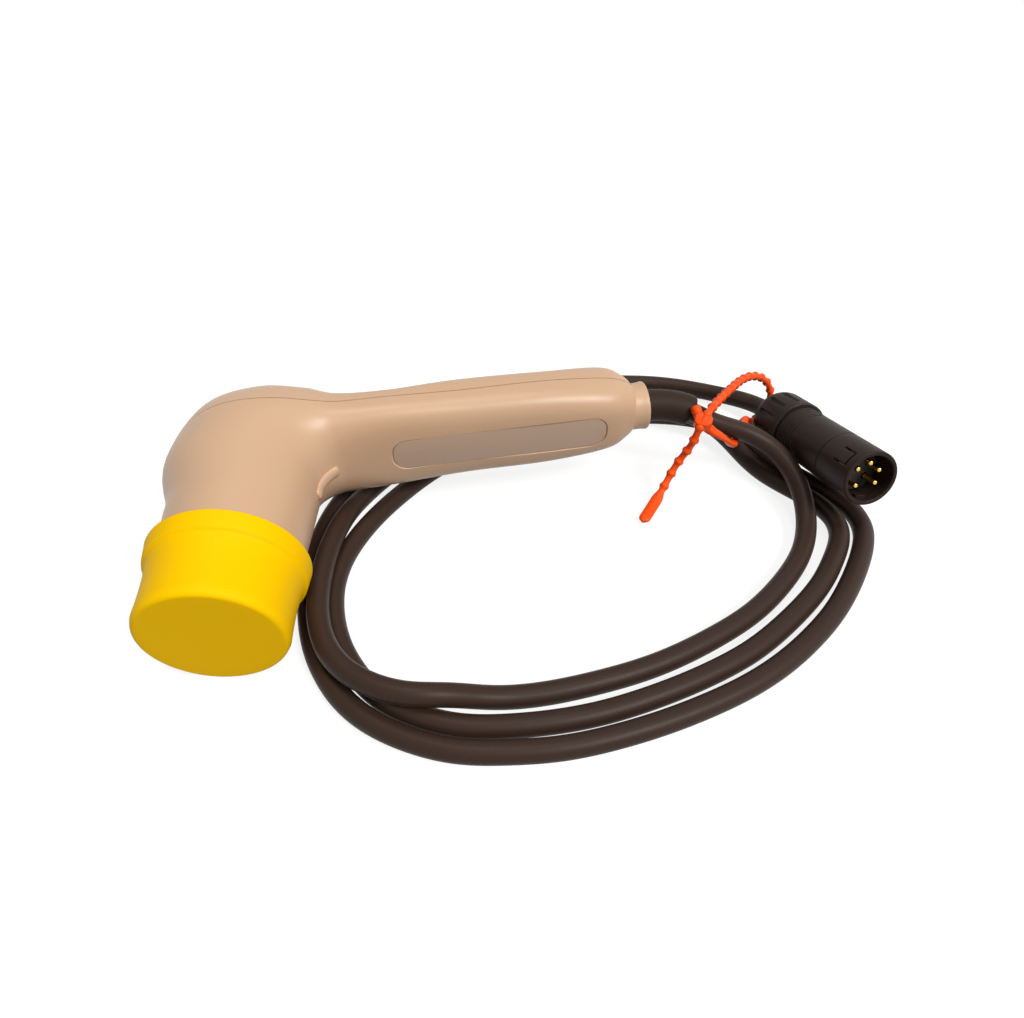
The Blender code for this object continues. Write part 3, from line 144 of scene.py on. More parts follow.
# Points of both routes are in tenths of a millimetre. A point without a height lies on the table
CABLE_ROUTE = [
    (1022, 369, 250), (1082, 375, 226), (1153, 376, 200), (1220, 362, 174), (1274, 328, 147),
    (1312, 263, 121), (1331, 178, 96), (1335, 103, 63), (1318, 21, 41), (1276, -72), (1203, -173),
    (1049, -324), (880, -431), (677, -524), (422, -589), (332, -601), (257, -607, 38),
    (199, -612, 52), (151, -618, 74), (104, -628, 97), (46, -635, 108), (-24, -628, 110),
    (-149, -568, 110), (-230, -479, 109), (-278, -345, 101), (-289, -272, 98), (-292, -180, 98),
    (-288, -99, 99), (-278, -23, 99), (-262, 54, 97), (-249, 118, 86), (-219, 223, 58),
    (-159, 343, 40), (-69, 463), (71, 603), (256, 713), (436, 763, 43), (576, 766, 73),
    (696, 744, 107), (816, 711, 113), (926, 677, 106), (1031, 639, 94), (1111, 593, 78),
    (1162, 533, 60), (1192, 469, 46), (1222, 402, 36), (1256, 332), (1304, 269), (1360, 206),
    (1409, 140), (1435, 66), (1429, -2), (1393, -73), (1352, -136), (1292, -219), (1221, -294),
    (1151, -357), (1069, -424), (977, -488), (785, -581), (555, -659), (424, -684), (340, -692),
    (252, -695), (192, -694), (144, -689), (98, -679), (32, -654), (-40, -618), (-111, -563),
    (-169, -485), (-213, -404), (-243, -315), (-260, -218), (-261, -133), (-248, -44), (-220, 39),
    (-179, 126), (-122, 218), (-9, 363), (106, 473), (256, 573), (426, 643), (596, 688),
    (736, 713), (866, 720), (986, 709), (1086, 681), (1166, 641), (1223, 589), (1254, 525),
    (1278, 457), (1311, 391), (1356, 329), (1407, 267), (1460, 206), (1501, 140), (1519, 68),
    (1510, -4), (1466, -96), (1409, -186), (1345, -273), (1268, -362), (1184, -439), (1088, -515),
    (986, -579), (885, -629), (667, -710), (420, -766), (252, -771), (138, -764), (44, -738),
    (-46, -698), (-125, -648), (-190, -585), (-239, -516), (-283, -429), (-314, -335),
    (-336, -222), (-345, -129), (-344, -30), (-324, 133), (-279, 273), (-209, 413), (-109, 553),
    (26, 693), (196, 828), (386, 918), (596, 963), (840, 963), (945, 953), (1032, 933),
    (1108, 903, 36), (1176, 866, 40), (1240, 822, 48), (1298, 774, 59),
]
CABLE_IN_PLUG = (0.072, 0.066, 0.060, 0.054, 0.047)
PLUG_MOUTH = (0.1474, 0.0018, 0.0253)
PLUG_YAW = math.radians(-80.5)
PLUG_PITCH = math.radians(15.0)
PLUG_RADIUS = 0.0095
PLUG_BORE = 0.0080
SLEEVE_LENGTH = 0.0170
BODY_END = 0.0440
BODY_SPIGOT_END = 0.0525
BODY_SPIGOT_RADIUS = 0.0083
BODY_BORE = 0.0068
INSERT_FRONT = 0.0085
INSERT_THICKNESS = 0.0075
PIN_CIRCLE = 0.0046
PIN_FRONT = 0.0020
PIN_TAIL = 0.0035
PIN_HOLE_OVER = 0.002
PIN_ANGLES = (20, 80, 140, 220, 320)
PLUG_EDGE = 0.0003
PIN_RADIUS = 0.0009
LATCH_FRONT = 0.0028
NUT_RADIUS = 0.0108
NUT_REAR_RADIUS = 0.0086
NUT_REAR_WALL = 0.0035
NUT_END = 0.0620
# Points of the nut's front edge: how far in from its side, and how far behind its face
NUT_FRONT_EDGE = ((0.0005, 0), (0.0001, 0.0003), (0, 0.0007))
NUT_REAR_EDGE = 0.0005
TIE_ROUTE = [
    (960, 347, 332), (974, 325, 305), (990, 308, 279), (1023, 300, 256), (1072, 300, 225),
    (1105, 318, 183), (1136, 370, 150), (1176, 445, 138), (1222, 530, 120), (1262, 600, 80),
    (1295, 640, 36), (1345, 700, 20), (1392, 742, 40), (1405, 762, 90), (1380, 758, 145),
    (1335, 735, 190), (1270, 685, 228), (1207, 613, 256), (1148, 530, 280), (1076, 428, 303),
    (1029, 355, 321), (990, 298, 320), (966, 276, 280), (956, 276, 230), (937, 282, 178),
    (912, 280, 130), (889, 264, 88), (866, 240, 56), (827, 187, 31), (772, 108, 16),
]
TIE_EYE = (0.0062, 0.0050, 0.0058)
TIE_EYE_CORNER = 0.0022
TIE_EYE_EDGE = 0.0007
TIE_EYE_PLACE = (0.0986, 0.0303, 0.0294)
TIE_EYE_TURN = (math.radians(35), 0, math.radians(-20))

# ---- sizes set after the photograph, not the solids
LABEL_MARGIN = 0.0010
RIB_RADIUS = 0.0013
RIB_PROUD = 0.0012
RIB_HALF_WIDTH = 0.0021
# Where the rib starts and ends, as section numbers from the neck's mouth
RIB_SECTIONS = (3.9, 7.2)
CAP_STEP = 0.0009
# The slope of the cap's step: how far before the band's edge it starts, and how long it is
CAP_STEP_START = 0.0009
CAP_STEP_RUN = 0.0012
CAP_FLANK_START = 0.0006
CAP_FLANK_POINTS = 12
# The step of the cap grows over this many of its flank points
CAP_STEP_POINTS = 9
SLEEVE_LIP = 0.0005
KEY_SIZE = (0.0010, 0.0036, 0.0022)
KEY_AT = 0.0040
KEY_ANGLE = math.radians(-95)
KEY_ROOT = 0.0003
KEY_CORNER = 0.0003
KEY_EDGE = 0.0001
LATCH_ANGLE = math.radians(134)
LATCH_LENGTH = 0.0064
LATCH_WIDTH = 0.0050
LATCH_GROOVE = 0.0016
LATCH_CUT = 0.0045
LATCH_CORNER = 0.0002
GRIP_RIBS = 5
GRIP_RIB_PITCH = 0.0016
GRIP_RIBS_FROM_END = 0.0015
# A groove between two grip ribs: where it reaches its floor, leaves it, and ends
GRIP_GROOVE = (0.0003, 0.0007, 0.0010)
NUT_ROUND_LENGTH = 0.0050
NUT_ROUND_HEIGHT = 0.0042
FLUTES = 12
FLUTE_FROM_FACE = 0.0026
FLUTE_LENGTH = 0.0110
# How far out of the nut's side the middle of a flute lies, in radii of the flute
FLUTE_OUT = 0.4
TIE_PADDLE_LENGTH = 0.0160
# Lengths along the tie, from its knob: the end of the smooth rod, and of the flat stretch
TIE_ROD = 0.0105
TIE_FLAT = 0.0290
TIE_STEP = 0.00065
# How wide the bell curve of a bead is, as a share of the pitch
BEAD_SPREAD = 0.17
# The tail keeps its full width up to this share of its length, and narrows over the next
TAIL_FROM = 0.70
TAIL_RUN = 0.30


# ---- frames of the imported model
def turn(x=0.0, y=0.0, z=0.0):
    """A turn about the axes."""
    return Euler((x, y, z)).to_matrix().to_4x4()


def shift(x, y, z):
    """A move along the axes."""
    return Matrix.Translation((x, y, z))


TABLE = shift(-0.00104, 0.00024, 0.00005)
HEAD_PITCH = math.atan((CAP_RIM_RADIUS - CAP_END_RADIUS) / CAP_LENGTH)
HEAD_LIFT = CAP_END_AT * math.sin(HEAD_PITCH) + CAP_END_RADIUS * math.cos(HEAD_PITCH)
HEAD = TABLE @ shift(-0.0524, 0.0313, HEAD_LIFT) @ turn(x=HEAD_PITCH)
NECK = HEAD @ turn(x=math.pi / 2)
HANDLE = HEAD @ turn(z=HANDLE_YAW)
DEPTH = HANDLE @ turn(x=-math.pi / 2)
COLLAR = HANDLE @ shift(0, COLLAR_DEPTH, 0) @ turn(y=math.pi / 2)
LABEL = HEAD @ shift(*LABEL_CENTRE, 0) @ turn(z=LABEL_YAW)
PLUG_DIRECTION = Vector((
    math.cos(PLUG_PITCH) * math.cos(PLUG_YAW),
    math.cos(PLUG_PITCH) * math.sin(PLUG_YAW),
    math.sin(PLUG_PITCH),
))
PLUG_TURN = PLUG_DIRECTION.to_track_quat("Z", "Y").to_matrix().to_4x4()
PLUG = TABLE @ shift(*PLUG_MOUTH) @ PLUG_TURN

# ---- the photograph
CAMERA_PLACE = TABLE @ Vector((0.0233, -0.1842, 0.1849))
CAMERA_AXES = (
    (0.9989, -0.0468, -0.0050),
    (0.0350, 0.6672, 0.7441),
    (-0.0315, -0.7434, 0.6681),
)
CAMERA_LENS = 27.07
SENSOR_WIDTH = 36.0
CLIP_START = 0.01
# The lamps are soft suns, so the floor is lit evenly up to the horizon
LAMP_COLOUR = (1.0, 0.97, 0.93)
KEY_LAMP_PLACE = (0.45, -0.48, 0.75)
KEY_LAMP_ANGLE = math.radians(22)
TOP_LAMP_PLACE = (-0.02, 0.05, 1.00)
TOP_LAMP_ANGLE = math.radians(16)
FLOOR_HALF = 3.0
FLOOR_DROP = 0.0002
FLOOR_GLOW = 0.84


# ---- settings
def colour_prop(name, description, default):
    """A colour that can be set in the panel."""
    return FloatVectorProperty(name=name, description=description, default=default, size=3,
                               subtype="COLOR", min=0.0, max=1.0)


def length_prop(name, description, default):
    """A length in metres that can be set in the panel."""
    return FloatProperty(name=name, description=description, default=default, unit="LENGTH",
                         precision=5, min=0.0)


class HeadSettings(bpy.types.PropertyGroup):
    """Colours and edges of the head's mouldings"""
    housing_colour: colour_prop("Housing", "Colour of the moulded housing", (0.590, 0.385, 0.245))
    label_colour: colour_prop("Label", "Colour of the bare label plate", (0.490, 0.335, 0.240))
    cap_colour: colour_prop("Cap", "Colour of the protective cap", (1.000, 0.590, 0.000))
    rib_radius: length_prop("Rib radius", "Radius of the raised rib in the elbow", RIB_RADIUS)
    rib_proud: length_prop("Rib height", "How far the rib stands out of the elbow", RIB_PROUD)
    rib_half_width: length_prop("Rib half width", "Half the width of the rib", RIB_HALF_WIDTH)
    cap_band: length_prop("Cap band", "Width of the band at the cap's rim", CAP_BAND)
    cap_step: length_prop("Cap step", "Height of the step under the band", CAP_STEP)
    cap_edge: length_prop("Cap edge", "Radius of the cap's end edge", CAP_EDGE)


class CableSettings(bpy.types.PropertyGroup):
    """Sizes and colours of the cable and its boot"""
    diameter: length_prop("Diameter", "Outside diameter of the cable", CABLE_DIAMETER)
    colour: colour_prop("Cable", "Colour of the cable's rubber", (0.036, 0.020, 0.014))
    boot_radius: length_prop("Boot radius", "Radius of the strain relief boot", BOOT_RADIUS)
    boot_colour: colour_prop("Boot", "Colour of the boot's rubber", (0.030, 0.018, 0.012))


class PlugSettings(bpy.types.PropertyGroup):
    """Sizes and colours of the plug"""
    shell_colour: colour_prop("Shell", "Colour of the plug's shell", (0.022, 0.013, 0.010))
    pin_colour: colour_prop("Pins", "Colour of the pins' plating", (0.830, 0.520, 0.130))
    pin_radius: length_prop("Pin radius", "Radius of a contact pin", PIN_RADIUS)
    groove_radius: length_prop("Flute radius", "Radius of the clamp nut's flutes", 0.0013)
    rib_height: length_prop("Grip rib", "Height of the grip ribs on the body", 0.0003)
    latch_slot: length_prop("Latch slot", "Width of the slots beside the latch tab", 0.0007)


class TieSettings(bpy.types.PropertyGroup):
    """Sizes and colour of the cable tie"""
    colour: colour_prop("Tie", "Colour of the cable tie", (0.960, 0.085, 0.004))
    bead_radius: length_prop("Bead radius", "Radius of a bead", 0.0018)
    neck_radius: length_prop("Neck radius", "Radius between two beads", 0.0012)
    pitch: length_prop("Pitch", "Distance from bead to bead", 0.0052)
    paddle_width: length_prop("Tail half width", "Half the width of the flat tail", 0.0021)
    paddle_thickness: length_prop("Tail half thickness", "Half the tail's thickness", 0.0010)


class StageSettings(bpy.types.PropertyGroup):
    """Camera, floor and lamps"""
    lens: FloatProperty(name="Lens", description="Focal length of the camera", default=CAMERA_LENS,
                        subtype="DISTANCE_CAMERA", min=1.0)
    floor_colour: colour_prop("Floor", "Colour of the floor", (0.26, 0.26, 0.26))
    key_strength: FloatProperty(name="Key lamp", description="Key lamp's light in watts per m2",
                                default=2.70, min=0.0)
    top_strength: FloatProperty(name="Top lamp", description="Top lamp's light in watts per m2",
                                default=0.75, min=0.0)
    sky_level: FloatProperty(name="Sky", description="Level of the even light all round",
                             default=0.20, subtype="FACTOR", min=0.0, max=2.0)


class TherapyHeadSettings(bpy.types.PropertyGroup):
    """Everything that can be set on the therapy head"""
    head: PointerProperty(type=HeadSettings)
    cable: PointerProperty(type=CableSettings)
    plug: PointerProperty(type=PlugSettings)
    tie: PointerProperty(type=TieSettings)
    stage: PointerProperty(type=StageSettings)


# ---- shader node groups
def node_group(name, inputs, outputs):
    """A shader group with its sockets, and its input and output nodes."""
    tree = bpy.data.node_groups.new(name, "ShaderNodeTree")
    for label, kind, default in inputs:
        socket = tree.interface.new_socket(label, in_out="INPUT", socket_type=kind)
        if default is not None:
            socket.default_value = default
    for label, kind in outputs:
        tree.interface.new_socket(label, in_out="OUTPUT", socket_type=kind)
    return tree, tree.nodes.new("NodeGroupInput"), tree.nodes.new("NodeGroupOutput")


def feed(tree, node, links):
    """Links a node's inputs to sockets, or sets them to plain values."""
    for key, value in links.items():
        if isinstance(value, bpy.types.NodeSocket):
            tree.links.new(value, node.inputs[key])
        else:
            node.inputs[key].default_value = value


def add_node(tree, kind, links=None, **settings):
    """A node with its settings, and its inputs linked to sockets or set to values."""
    node = tree.nodes.new(kind)
    for key, value in settings.items():
        setattr(node, key, value)
    feed(tree, node, links or {})
    return node


def maths(tree, operation, *values, clamp=False):
    """The result of a math node on sockets and plain values."""
    return add_node(tree, "ShaderNodeMath", dict(enumerate(values)), operation=operation,
                    use_clamp=clamp).outputs[0]


def noise(tree, where, scale, detail, **more):
    """The level of a noise texture, from 0 to 1."""
    links = {"Vector": where, "Scale": scale, "Detail": detail, **more}
    return add_node(tree, "ShaderNodeTexNoise", links).outputs["Fac"]


def moulded_grain_group():
    """Fine moulded grain: a height for a bump."""
    tree, given, out = node_group("moulded grain", [
        ("Vector", "NodeSocketVector", None), ("Scale", "NodeSocketFloat", 2500.0),
        ("Waviness", "NodeSocketFloat", 0.3),
    ], [("Height", "NodeSocketFloat")])
    where = given.outputs["Vector"]
    fine = noise(tree, where, given.outputs["Scale"], detail=3.0)
    broad = noise(tree, where, scale=45.0, detail=2.0)
    height = maths(tree, "MULTIPLY_ADD", broad, given.outputs["Waviness"], fine)
    feed(tree, out, {"Height": height})
    return tree


def colour_drift_group():
    """A base colour that drifts slightly over the surface."""
    tree, given, out = node_group("colour drift", [
        ("Vector", "NodeSocketVector", None), ("Color", "NodeSocketColor", (0.5, 0.5, 0.5, 1.0)),
        ("Drift", "NodeSocketFloat", 0.06), ("Scale", "NodeSocketFloat", 30.0),
    ], [("Color", "NodeSocketColor")])
    level = noise(tree, given.outputs["Vector"], given.outputs["Scale"], detail=4.0,
                  Roughness=0.6)
    centred = maths(tree, "SUBTRACT", level, 0.5)
    share = maths(tree, "MULTIPLY_ADD", centred, given.outputs["Drift"], 1.0)
    scaled = add_node(tree, "ShaderNodeVectorMath", {
        0: given.outputs["Color"], "Scale": share}, operation="SCALE")
    feed(tree, out, {"Color": scaled.outputs[0]})
    return tree


def handling_group():
    """Marks of handling: a roughness that varies with smudges, and a mask of fine scuffs."""
    tree, given, out = node_group("handling marks", [
        ("Vector", "NodeSocketVector", None), ("Roughness", "NodeSocketFloat", 0.4),
        ("Smudge", "NodeSocketFloat", 0.10), ("Scuff", "NodeSocketFloat", 0.0),
    ], [("Roughness", "NodeSocketFloat"), ("Scuff", "NodeSocketFloat")])
    where = given.outputs["Vector"]
    smudge = noise(tree, where, scale=70.0, detail=5.0, Roughness=0.65)
    centred = maths(tree, "SUBTRACT", smudge, 0.5)
    rough = maths(tree, "MULTIPLY_ADD", centred, given.outputs["Smudge"],
                  given.outputs["Roughness"], clamp=True)
    stretched = add_node(tree, "ShaderNodeVectorMath", {0: where, 1: (900.0, 260.0, 900.0)},
                         operation="MULTIPLY")
    streaks = noise(tree, stretched.outputs[0], scale=1.0, detail=2.0)
    edge = add_node(tree, "ShaderNodeMapRange", {
        "Value": streaks, "From Min": 0.66, "From Max": 0.74})
    mask = maths(tree, "MULTIPLY", edge.outputs["Result"], given.outputs["Scuff"])
    feed(tree, out, {"Roughness": rough, "Scuff": mask})
    return tree


def worn_edge_group():
    """A mask of the outward edges, where a finish wears first."""
    tree, given, out = node_group("worn edges", [
        ("Vector", "NodeSocketVector", None), ("Amount", "NodeSocketFloat", 0.4),
    ], [("Mask", "NodeSocketFloat")])
    shape = add_node(tree, "ShaderNodeNewGeometry")
    edge = add_node(tree, "ShaderNodeMapRange", {
        "Value": shape.outputs["Pointiness"], "From Min": 0.53, "From Max": 0.62})
    level = noise(tree, given.outputs["Vector"], scale=900.0, detail=3.0)
    broken = maths(tree, "MULTIPLY", edge.outputs["Result"], level)
    mask = maths(tree, "MULTIPLY", broken, given.outputs["Amount"], clamp=True)
    feed(tree, out, {"Mask": mask})
    return tree


GROUPS = {
    "grain": moulded_grain_group(),
    "drift": colour_drift_group(),
    "handling": handling_group(),
    "edges": worn_edge_group(),
}


def place_group(tree, key, links):
    """One of the shared groups as a node, with its input links."""
    return add_node(tree, "ShaderNodeGroup", links, node_tree=GROUPS[key])


def finish(name, colour, roughness, metallic=0.0, grain=2500.0, depth=0.00002, drift=0.06,
           smudge=0.10, scuff=0.0, scuff_colour=(0.5, 0.5, 0.5), edge_wear=0.0, sockets=None):
    """A material: drifting colour, handling marks, grain, and edge wear where it is asked for."""
    made = bpy.data.materials.new(name)
    made.use_nodes = True
    tree = made.node_tree
    shader = tree.nodes["Principled BSDF"]
    where = add_node(tree, "ShaderNodeTexCoord").outputs["Object"]
    base = place_group(tree, "drift", {
        "Vector": where, "Color": (*colour, 1.0), "Drift": drift}).outputs["Color"]
    marks = place_group(tree, "handling", {
        "Vector": where, "Roughness": roughness, "Smudge": smudge, "Scuff": scuff})
    masks = [marks.outputs["Scuff"]] if scuff else []
    if edge_wear:
        worn = place_group(tree, "edges", {"Vector": where, "Amount": edge_wear})
        masks.append(worn.outputs["Mask"])
    for mask in masks:
        base = add_node(tree, "ShaderNodeMix", {
            "Factor": mask, "A": base, "B": (*scuff_colour, 1.0)},
            data_type="RGBA").outputs["Result"]
    surface = place_group(tree, "grain", {"Vector": where, "Scale": grain})
    bump = add_node(tree, "ShaderNodeBump", {
        "Height": surface.outputs["Height"], "Distance": depth, "Strength": 1.0})
    feed(tree, shader, {
        "Base Color": base, "Roughness": marks.outputs["Roughness"],
        "Normal": bump.outputs["Normal"], "Metallic": metallic, **(sockets or {})})
    return made


# ---- shape helpers
def added(name, data):
    """A new object of the scene with its data."""
    obj = bpy.data.objects.new(name, data)
    bpy.context.scene.collection.objects.link(obj)
    return obj


def settle(name, mesh, place, look, angle=32):
    """The mesh as a smooth shaded piece, moved from its frame to the object's, riding on it."""
    if mesh.name != name:
        mesh.name = name
    if mesh.users:
        raise RuntimeError(f"The mesh of {name} already belongs to a piece")
    mesh.transform(place)
    obj = added(name, mesh)
    mesh.materials.clear()
    mesh.materials.append(look)
    mesh.shade_smooth()
    mesh.set_sharp_from_angle(angle=math.radians(angle))
    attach(obj, "root")
    return obj


def loose(name, mesh, place):
    """An object that only helps to cut or join, and is removed afterwards."""
    obj = added(name, mesh)
    obj.matrix_world = place
    return obj


def skin(rings, closed=False):
    """A mesh over equal rings of points, capped at its ends or closed on itself like a tyre."""
    shape = bmesh.new()
    rows = [[shape.verts.new(point) for point in ring] for ring in rings]
    count = len(rows[0])
    pairs = list(zip(rows, rows[1:]))
    if closed:
        pairs.append((rows[-1], rows[0]))
    for low, high in pairs:
        for i in range(count):
            j = (i + 1) % count
            shape.faces.new((low[i], low[j], high[j], high[i]))
    if not closed:
        shape.faces.new(list(reversed(rows[0])))
        shape.faces.new(rows[-1])
    return to_mesh(shape)


def to_mesh(shape):
    """The mesh of a shape, its faces turned outwards."""
    bmesh.ops.recalc_face_normals(shape, faces=shape.faces)
    mesh = bpy.data.meshes.new("piece")
    shape.to_mesh(mesh)
    shape.free()
    return mesh


def turned(profile, steps=96, closed=False):
    """A mesh turned about Z from a profile of (radius, height) points."""
    shape = bmesh.new()
    verts = [shape.verts.new((r, 0, z)) for r, z in profile]
    edges = [shape.edges.new(pair) for pair in zip(verts, verts[1:])]
    if closed:
        edges.append(shape.edges.new((verts[-1], verts[0])))
    bmesh.ops.spin(shape, geom=verts + edges, axis=(0, 0, 1), cent=(0, 0, 0), steps=steps,
                   angle=2 * math.pi, use_merge=True)
    bmesh.ops.remove_doubles(shape, verts=shape.verts, dist=WELD)
    return to_mesh(shape)


def arc(centre, radius, start, end, steps=6):
    """Points of an arc in a profile, angles in degrees from +X."""
    points = []
    for i in range(steps + 1):
        angle = math.radians(start + (end - start) * i / steps)
        points.append((centre[0] + radius * math.cos(angle), centre[1] + radius * math.sin(angle)))
    return points


def rounded_block(size, corner=0.0, axis=2, edge=0.0, segments=8):
    """A box mesh with the edges along one axis rounded, and its rims softened."""
    def along_axis(e):
        run = e.verts[0].co - e.verts[1].co
        return abs(run[axis]) > 0.9 * run.length

    def sharp(e):
        return len(e.link_faces) == 2 and e.calc_face_angle(0.0) > SHARP_EDGE

    shape = bmesh.new()
    bmesh.ops.create_cube(shape, size=1.0)
    bmesh.ops.scale(shape, vec=size, verts=shape.verts)
    for chosen, offset, count in ((along_axis, corner, segments), (sharp, edge, 3)):
        if offset:
            geom = [e for e in shape.edges if chosen(e)]
            bmesh.ops.bevel(shape, geom=geom, offset=offset, segments=count, profile=0.5,
                            affect="EDGES")
    return to_mesh(shape)


def cut(base, steps):
    """The base object's mesh after its Boolean steps of (operation, mesh, place), welded."""
    name = base.name
    helpers = []
    for i, (operation, mesh, place) in enumerate(steps):
        helper = loose(f"helper_{i}", mesh, place)
        modifier = base.modifiers.new(f"step_{i}", "BOOLEAN")
        modifier.operation = operation
        modifier.object = helper
        helpers.append(helper)
    bpy.context.view_layer.update()
    graph = bpy.context.evaluated_depsgraph_get()
    mesh = bpy.data.meshes.new_from_object(base.evaluated_get(graph))
    for obj in (*helpers, base):
        bpy.data.objects.remove(obj, do_unlink=True)
    if not mesh.polygons:
        raise RuntimeError(f"Nothing is left of {name} after its cuts")
    shape = bmesh.new()
    shape.from_mesh(mesh)
    bmesh.ops.remove_doubles(shape, verts=shape.verts, dist=WELD)
    return to_mesh(shape)


def joined(parts):
    """One mesh of several (mesh, place) shells."""
    shape = bmesh.new()
    for mesh, place in parts:
        mesh.transform(place)
        shape.from_mesh(mesh)
    return to_mesh(shape)


def spline_points(points, steps):
    """A smooth curve through the points (centripetal Catmull-Rom), with steps to each span."""
    path = [Vector(p) for p in points]
    path = [2 * path[0] - path[1], *path, 2 * path[-1] - path[-2]]
    out = []
    for a, b, c, d in zip(path, path[1:], path[2:], path[3:]):
        t1 = (b - a).length ** 0.5
        t2 = t1 + (c - b).length ** 0.5
        t3 = t2 + (d - c).length ** 0.5
        for i in range(steps):
            t = t1 + (t2 - t1) * i / steps
            ab = a * ((t1 - t) / t1) + b * (t / t1)
            bc = b * ((t2 - t) / (t2 - t1)) + c * ((t - t1) / (t2 - t1))
            cd = c * ((t3 - t) / (t3 - t2)) + d * ((t - t2) / (t3 - t2))
            abc = ab * ((t2 - t) / t2) + bc * (t / t2)
            bcd = bc * ((t3 - t) / (t3 - t1)) + cd * ((t - t1) / (t3 - t1))
            out.append(abc * ((t2 - t) / (t2 - t1)) + bcd * ((t - t1) / (t2 - t1)))
    out.append(path[-2])
    return out


def run_lengths(path):
    """How far along a path each of its points lies."""
    return [0.0, *accumulate((b - a).length for a, b in zip(path, path[1:]))]


def even_points(path, step):
    """Points at an even distance along a path, both ends included."""
    lengths = run_lengths(path)
    count = max(1, round(lengths[-1] / step))
    out = []
    span = 0
    for i in range(count + 1):
        want = lengths[-1] * i / count
        while span < len(path) - 2 and lengths[span + 1] < want:
            span += 1
        share = (want - lengths[span]) / (lengths[span + 1] - lengths[span])
        out.append(path[span].lerp(path[span + 1], share))
    return out


def route_point(tenths):
    """A point of a route in metres, at the lying cable's height where it has no height."""
    place = [value / 10000 for value in tenths]
    return Vector((*place, CABLE_DIAMETER / 2)[:3])


def relaxed(path, reach=5, rounds=2):
    """Each point moved to the mean of its neighbours, less near the ends, which stay."""
    for _ in range(rounds):
        last = len(path) - 1
        out = []
        for i in range(len(path)):
            near = min(reach, i, last - i)
            group = path[i - near:i + near + 1]
            out.append(sum(group, Vector()) / len(group))
        path = out
    return path


def along(path, distance):
    """The point of a path at a distance from its start, and the direction there."""
    run = 0.0
    for a, b in zip(path, path[1:]):
        step = (b - a).length
        if run + step >= distance:
            return a.lerp(b, (distance - run) / step), (b - a).normalized()
        run += step
    return path[-1].copy(), (path[-1] - path[-2]).normalized()


def ring_about(centre, direction, half_width, half_thickness, count):
    """A ring of points square to a direction, its width level."""
    side = direction.cross(Vector((0, 0, 1))).normalized()
    up = side.cross(direction)
    ring = []
    for i in range(count):
        angle = 2 * math.pi * i / count
        c, s = math.cos(angle), math.sin(angle)
        ring.append(centre + side * c * half_width + up * s * half_thickness)
    return ring


# ---- housing
def neck_radius(at):
    """The neck's outer radius at a distance from the elbow."""
    share = (NECK_MOUTH_AT - at) / (NECK_MOUTH_AT - NECK_ROOT_AT)
    return NECK_MOUTH_RADIUS + (NECK_ROOT_RADIUS - NECK_MOUTH_RADIUS) * share


def housing_sections(steps):
    """Sections from the neck's mouth to the collar, with steps rings to each span."""
    sections = []
    for share in (0.0, 0.35, 0.7, 1.0):
        at = NECK_MOUTH_AT + (NECK_ROOT_AT - NECK_MOUTH_AT) * share
        radius = neck_radius(at)
        sections.append((radius, -at, -radius, -at, radius, 2.0))
    sections += ELBOW_AND_HANDLE_SECTIONS
    smooth = []
    last = len(sections) - 1
    for i in range(last):
        before = sections[max(i - 1, 0)]
        after = sections[min(i + 2, last)]
        for step in range(steps):
            t = step / steps
            row = []
            for a, b, c, d in zip(before, sections[i], sections[i + 1], after):
                bend = 2 * b + (c - a) * t + (2 * a - 5 * b + 4 * c - d) * t * t
                row.append(0.5 * (bend + (3 * b - a - 3 * c + d) * t ** 3))
            smooth.append(row)
    smooth.append(list(sections[last]))
    return smooth


def section_ring(section, inset=0.0, count=96):
    """The points of one superellipse section, drawn in by a wall."""
    inner = Vector((section[0], section[1], 0))
    outer = Vector((section[2], section[3], 0))
    across = (inner - outer).normalized()
    half_depth = (inner - outer).length / 2 - inset
    half_height = section[4] - inset
    power = 2 / section[5]
    ring = []
    for i in range(count):
        angle = 2 * math.pi * i / count
        c, s = math.cos(angle), math.sin(angle)
        u = math.copysign(abs(c) ** power, c) * half_depth
        w = math.copysign(abs(s) ** power, s) * half_height
        ring.append((inner + outer) / 2 + across * u + Vector((0, 0, w)))
    return ring


def handle_distance(section):
    """How far along the handle's axis a section's middle lies."""
    x = (section[0] + section[2]) / 2
    y = (section[1] + section[3]) / 2
    return x * math.cos(HANDLE_YAW) + y * math.sin(HANDLE_YAW)


def cable_path():
    """The cable's centre line, point by point a millimetre apart."""
    handle = TABLE.inverted() @ HANDLE
    inside = [(CABLE_START, COLLAR_DEPTH, 0), ((CABLE_START + COLLAR_MOUTH) / 2, COLLAR_DEPTH, 0),
              (COLLAR_MOUTH, COLLAR_DEPTH, 0), BOOT_MIDDLE, BOOT_MOUTH]
    points = [handle @ Vector(p) for p in inside]
    points += [route_point(p) for p in CABLE_ROUTE]
    points += [Vector(PLUG_MOUTH) - PLUG_DIRECTION * behind for behind in CABLE_IN_PLUG]
    return relaxed(even_points(spline_points(points, 6), 0.001))


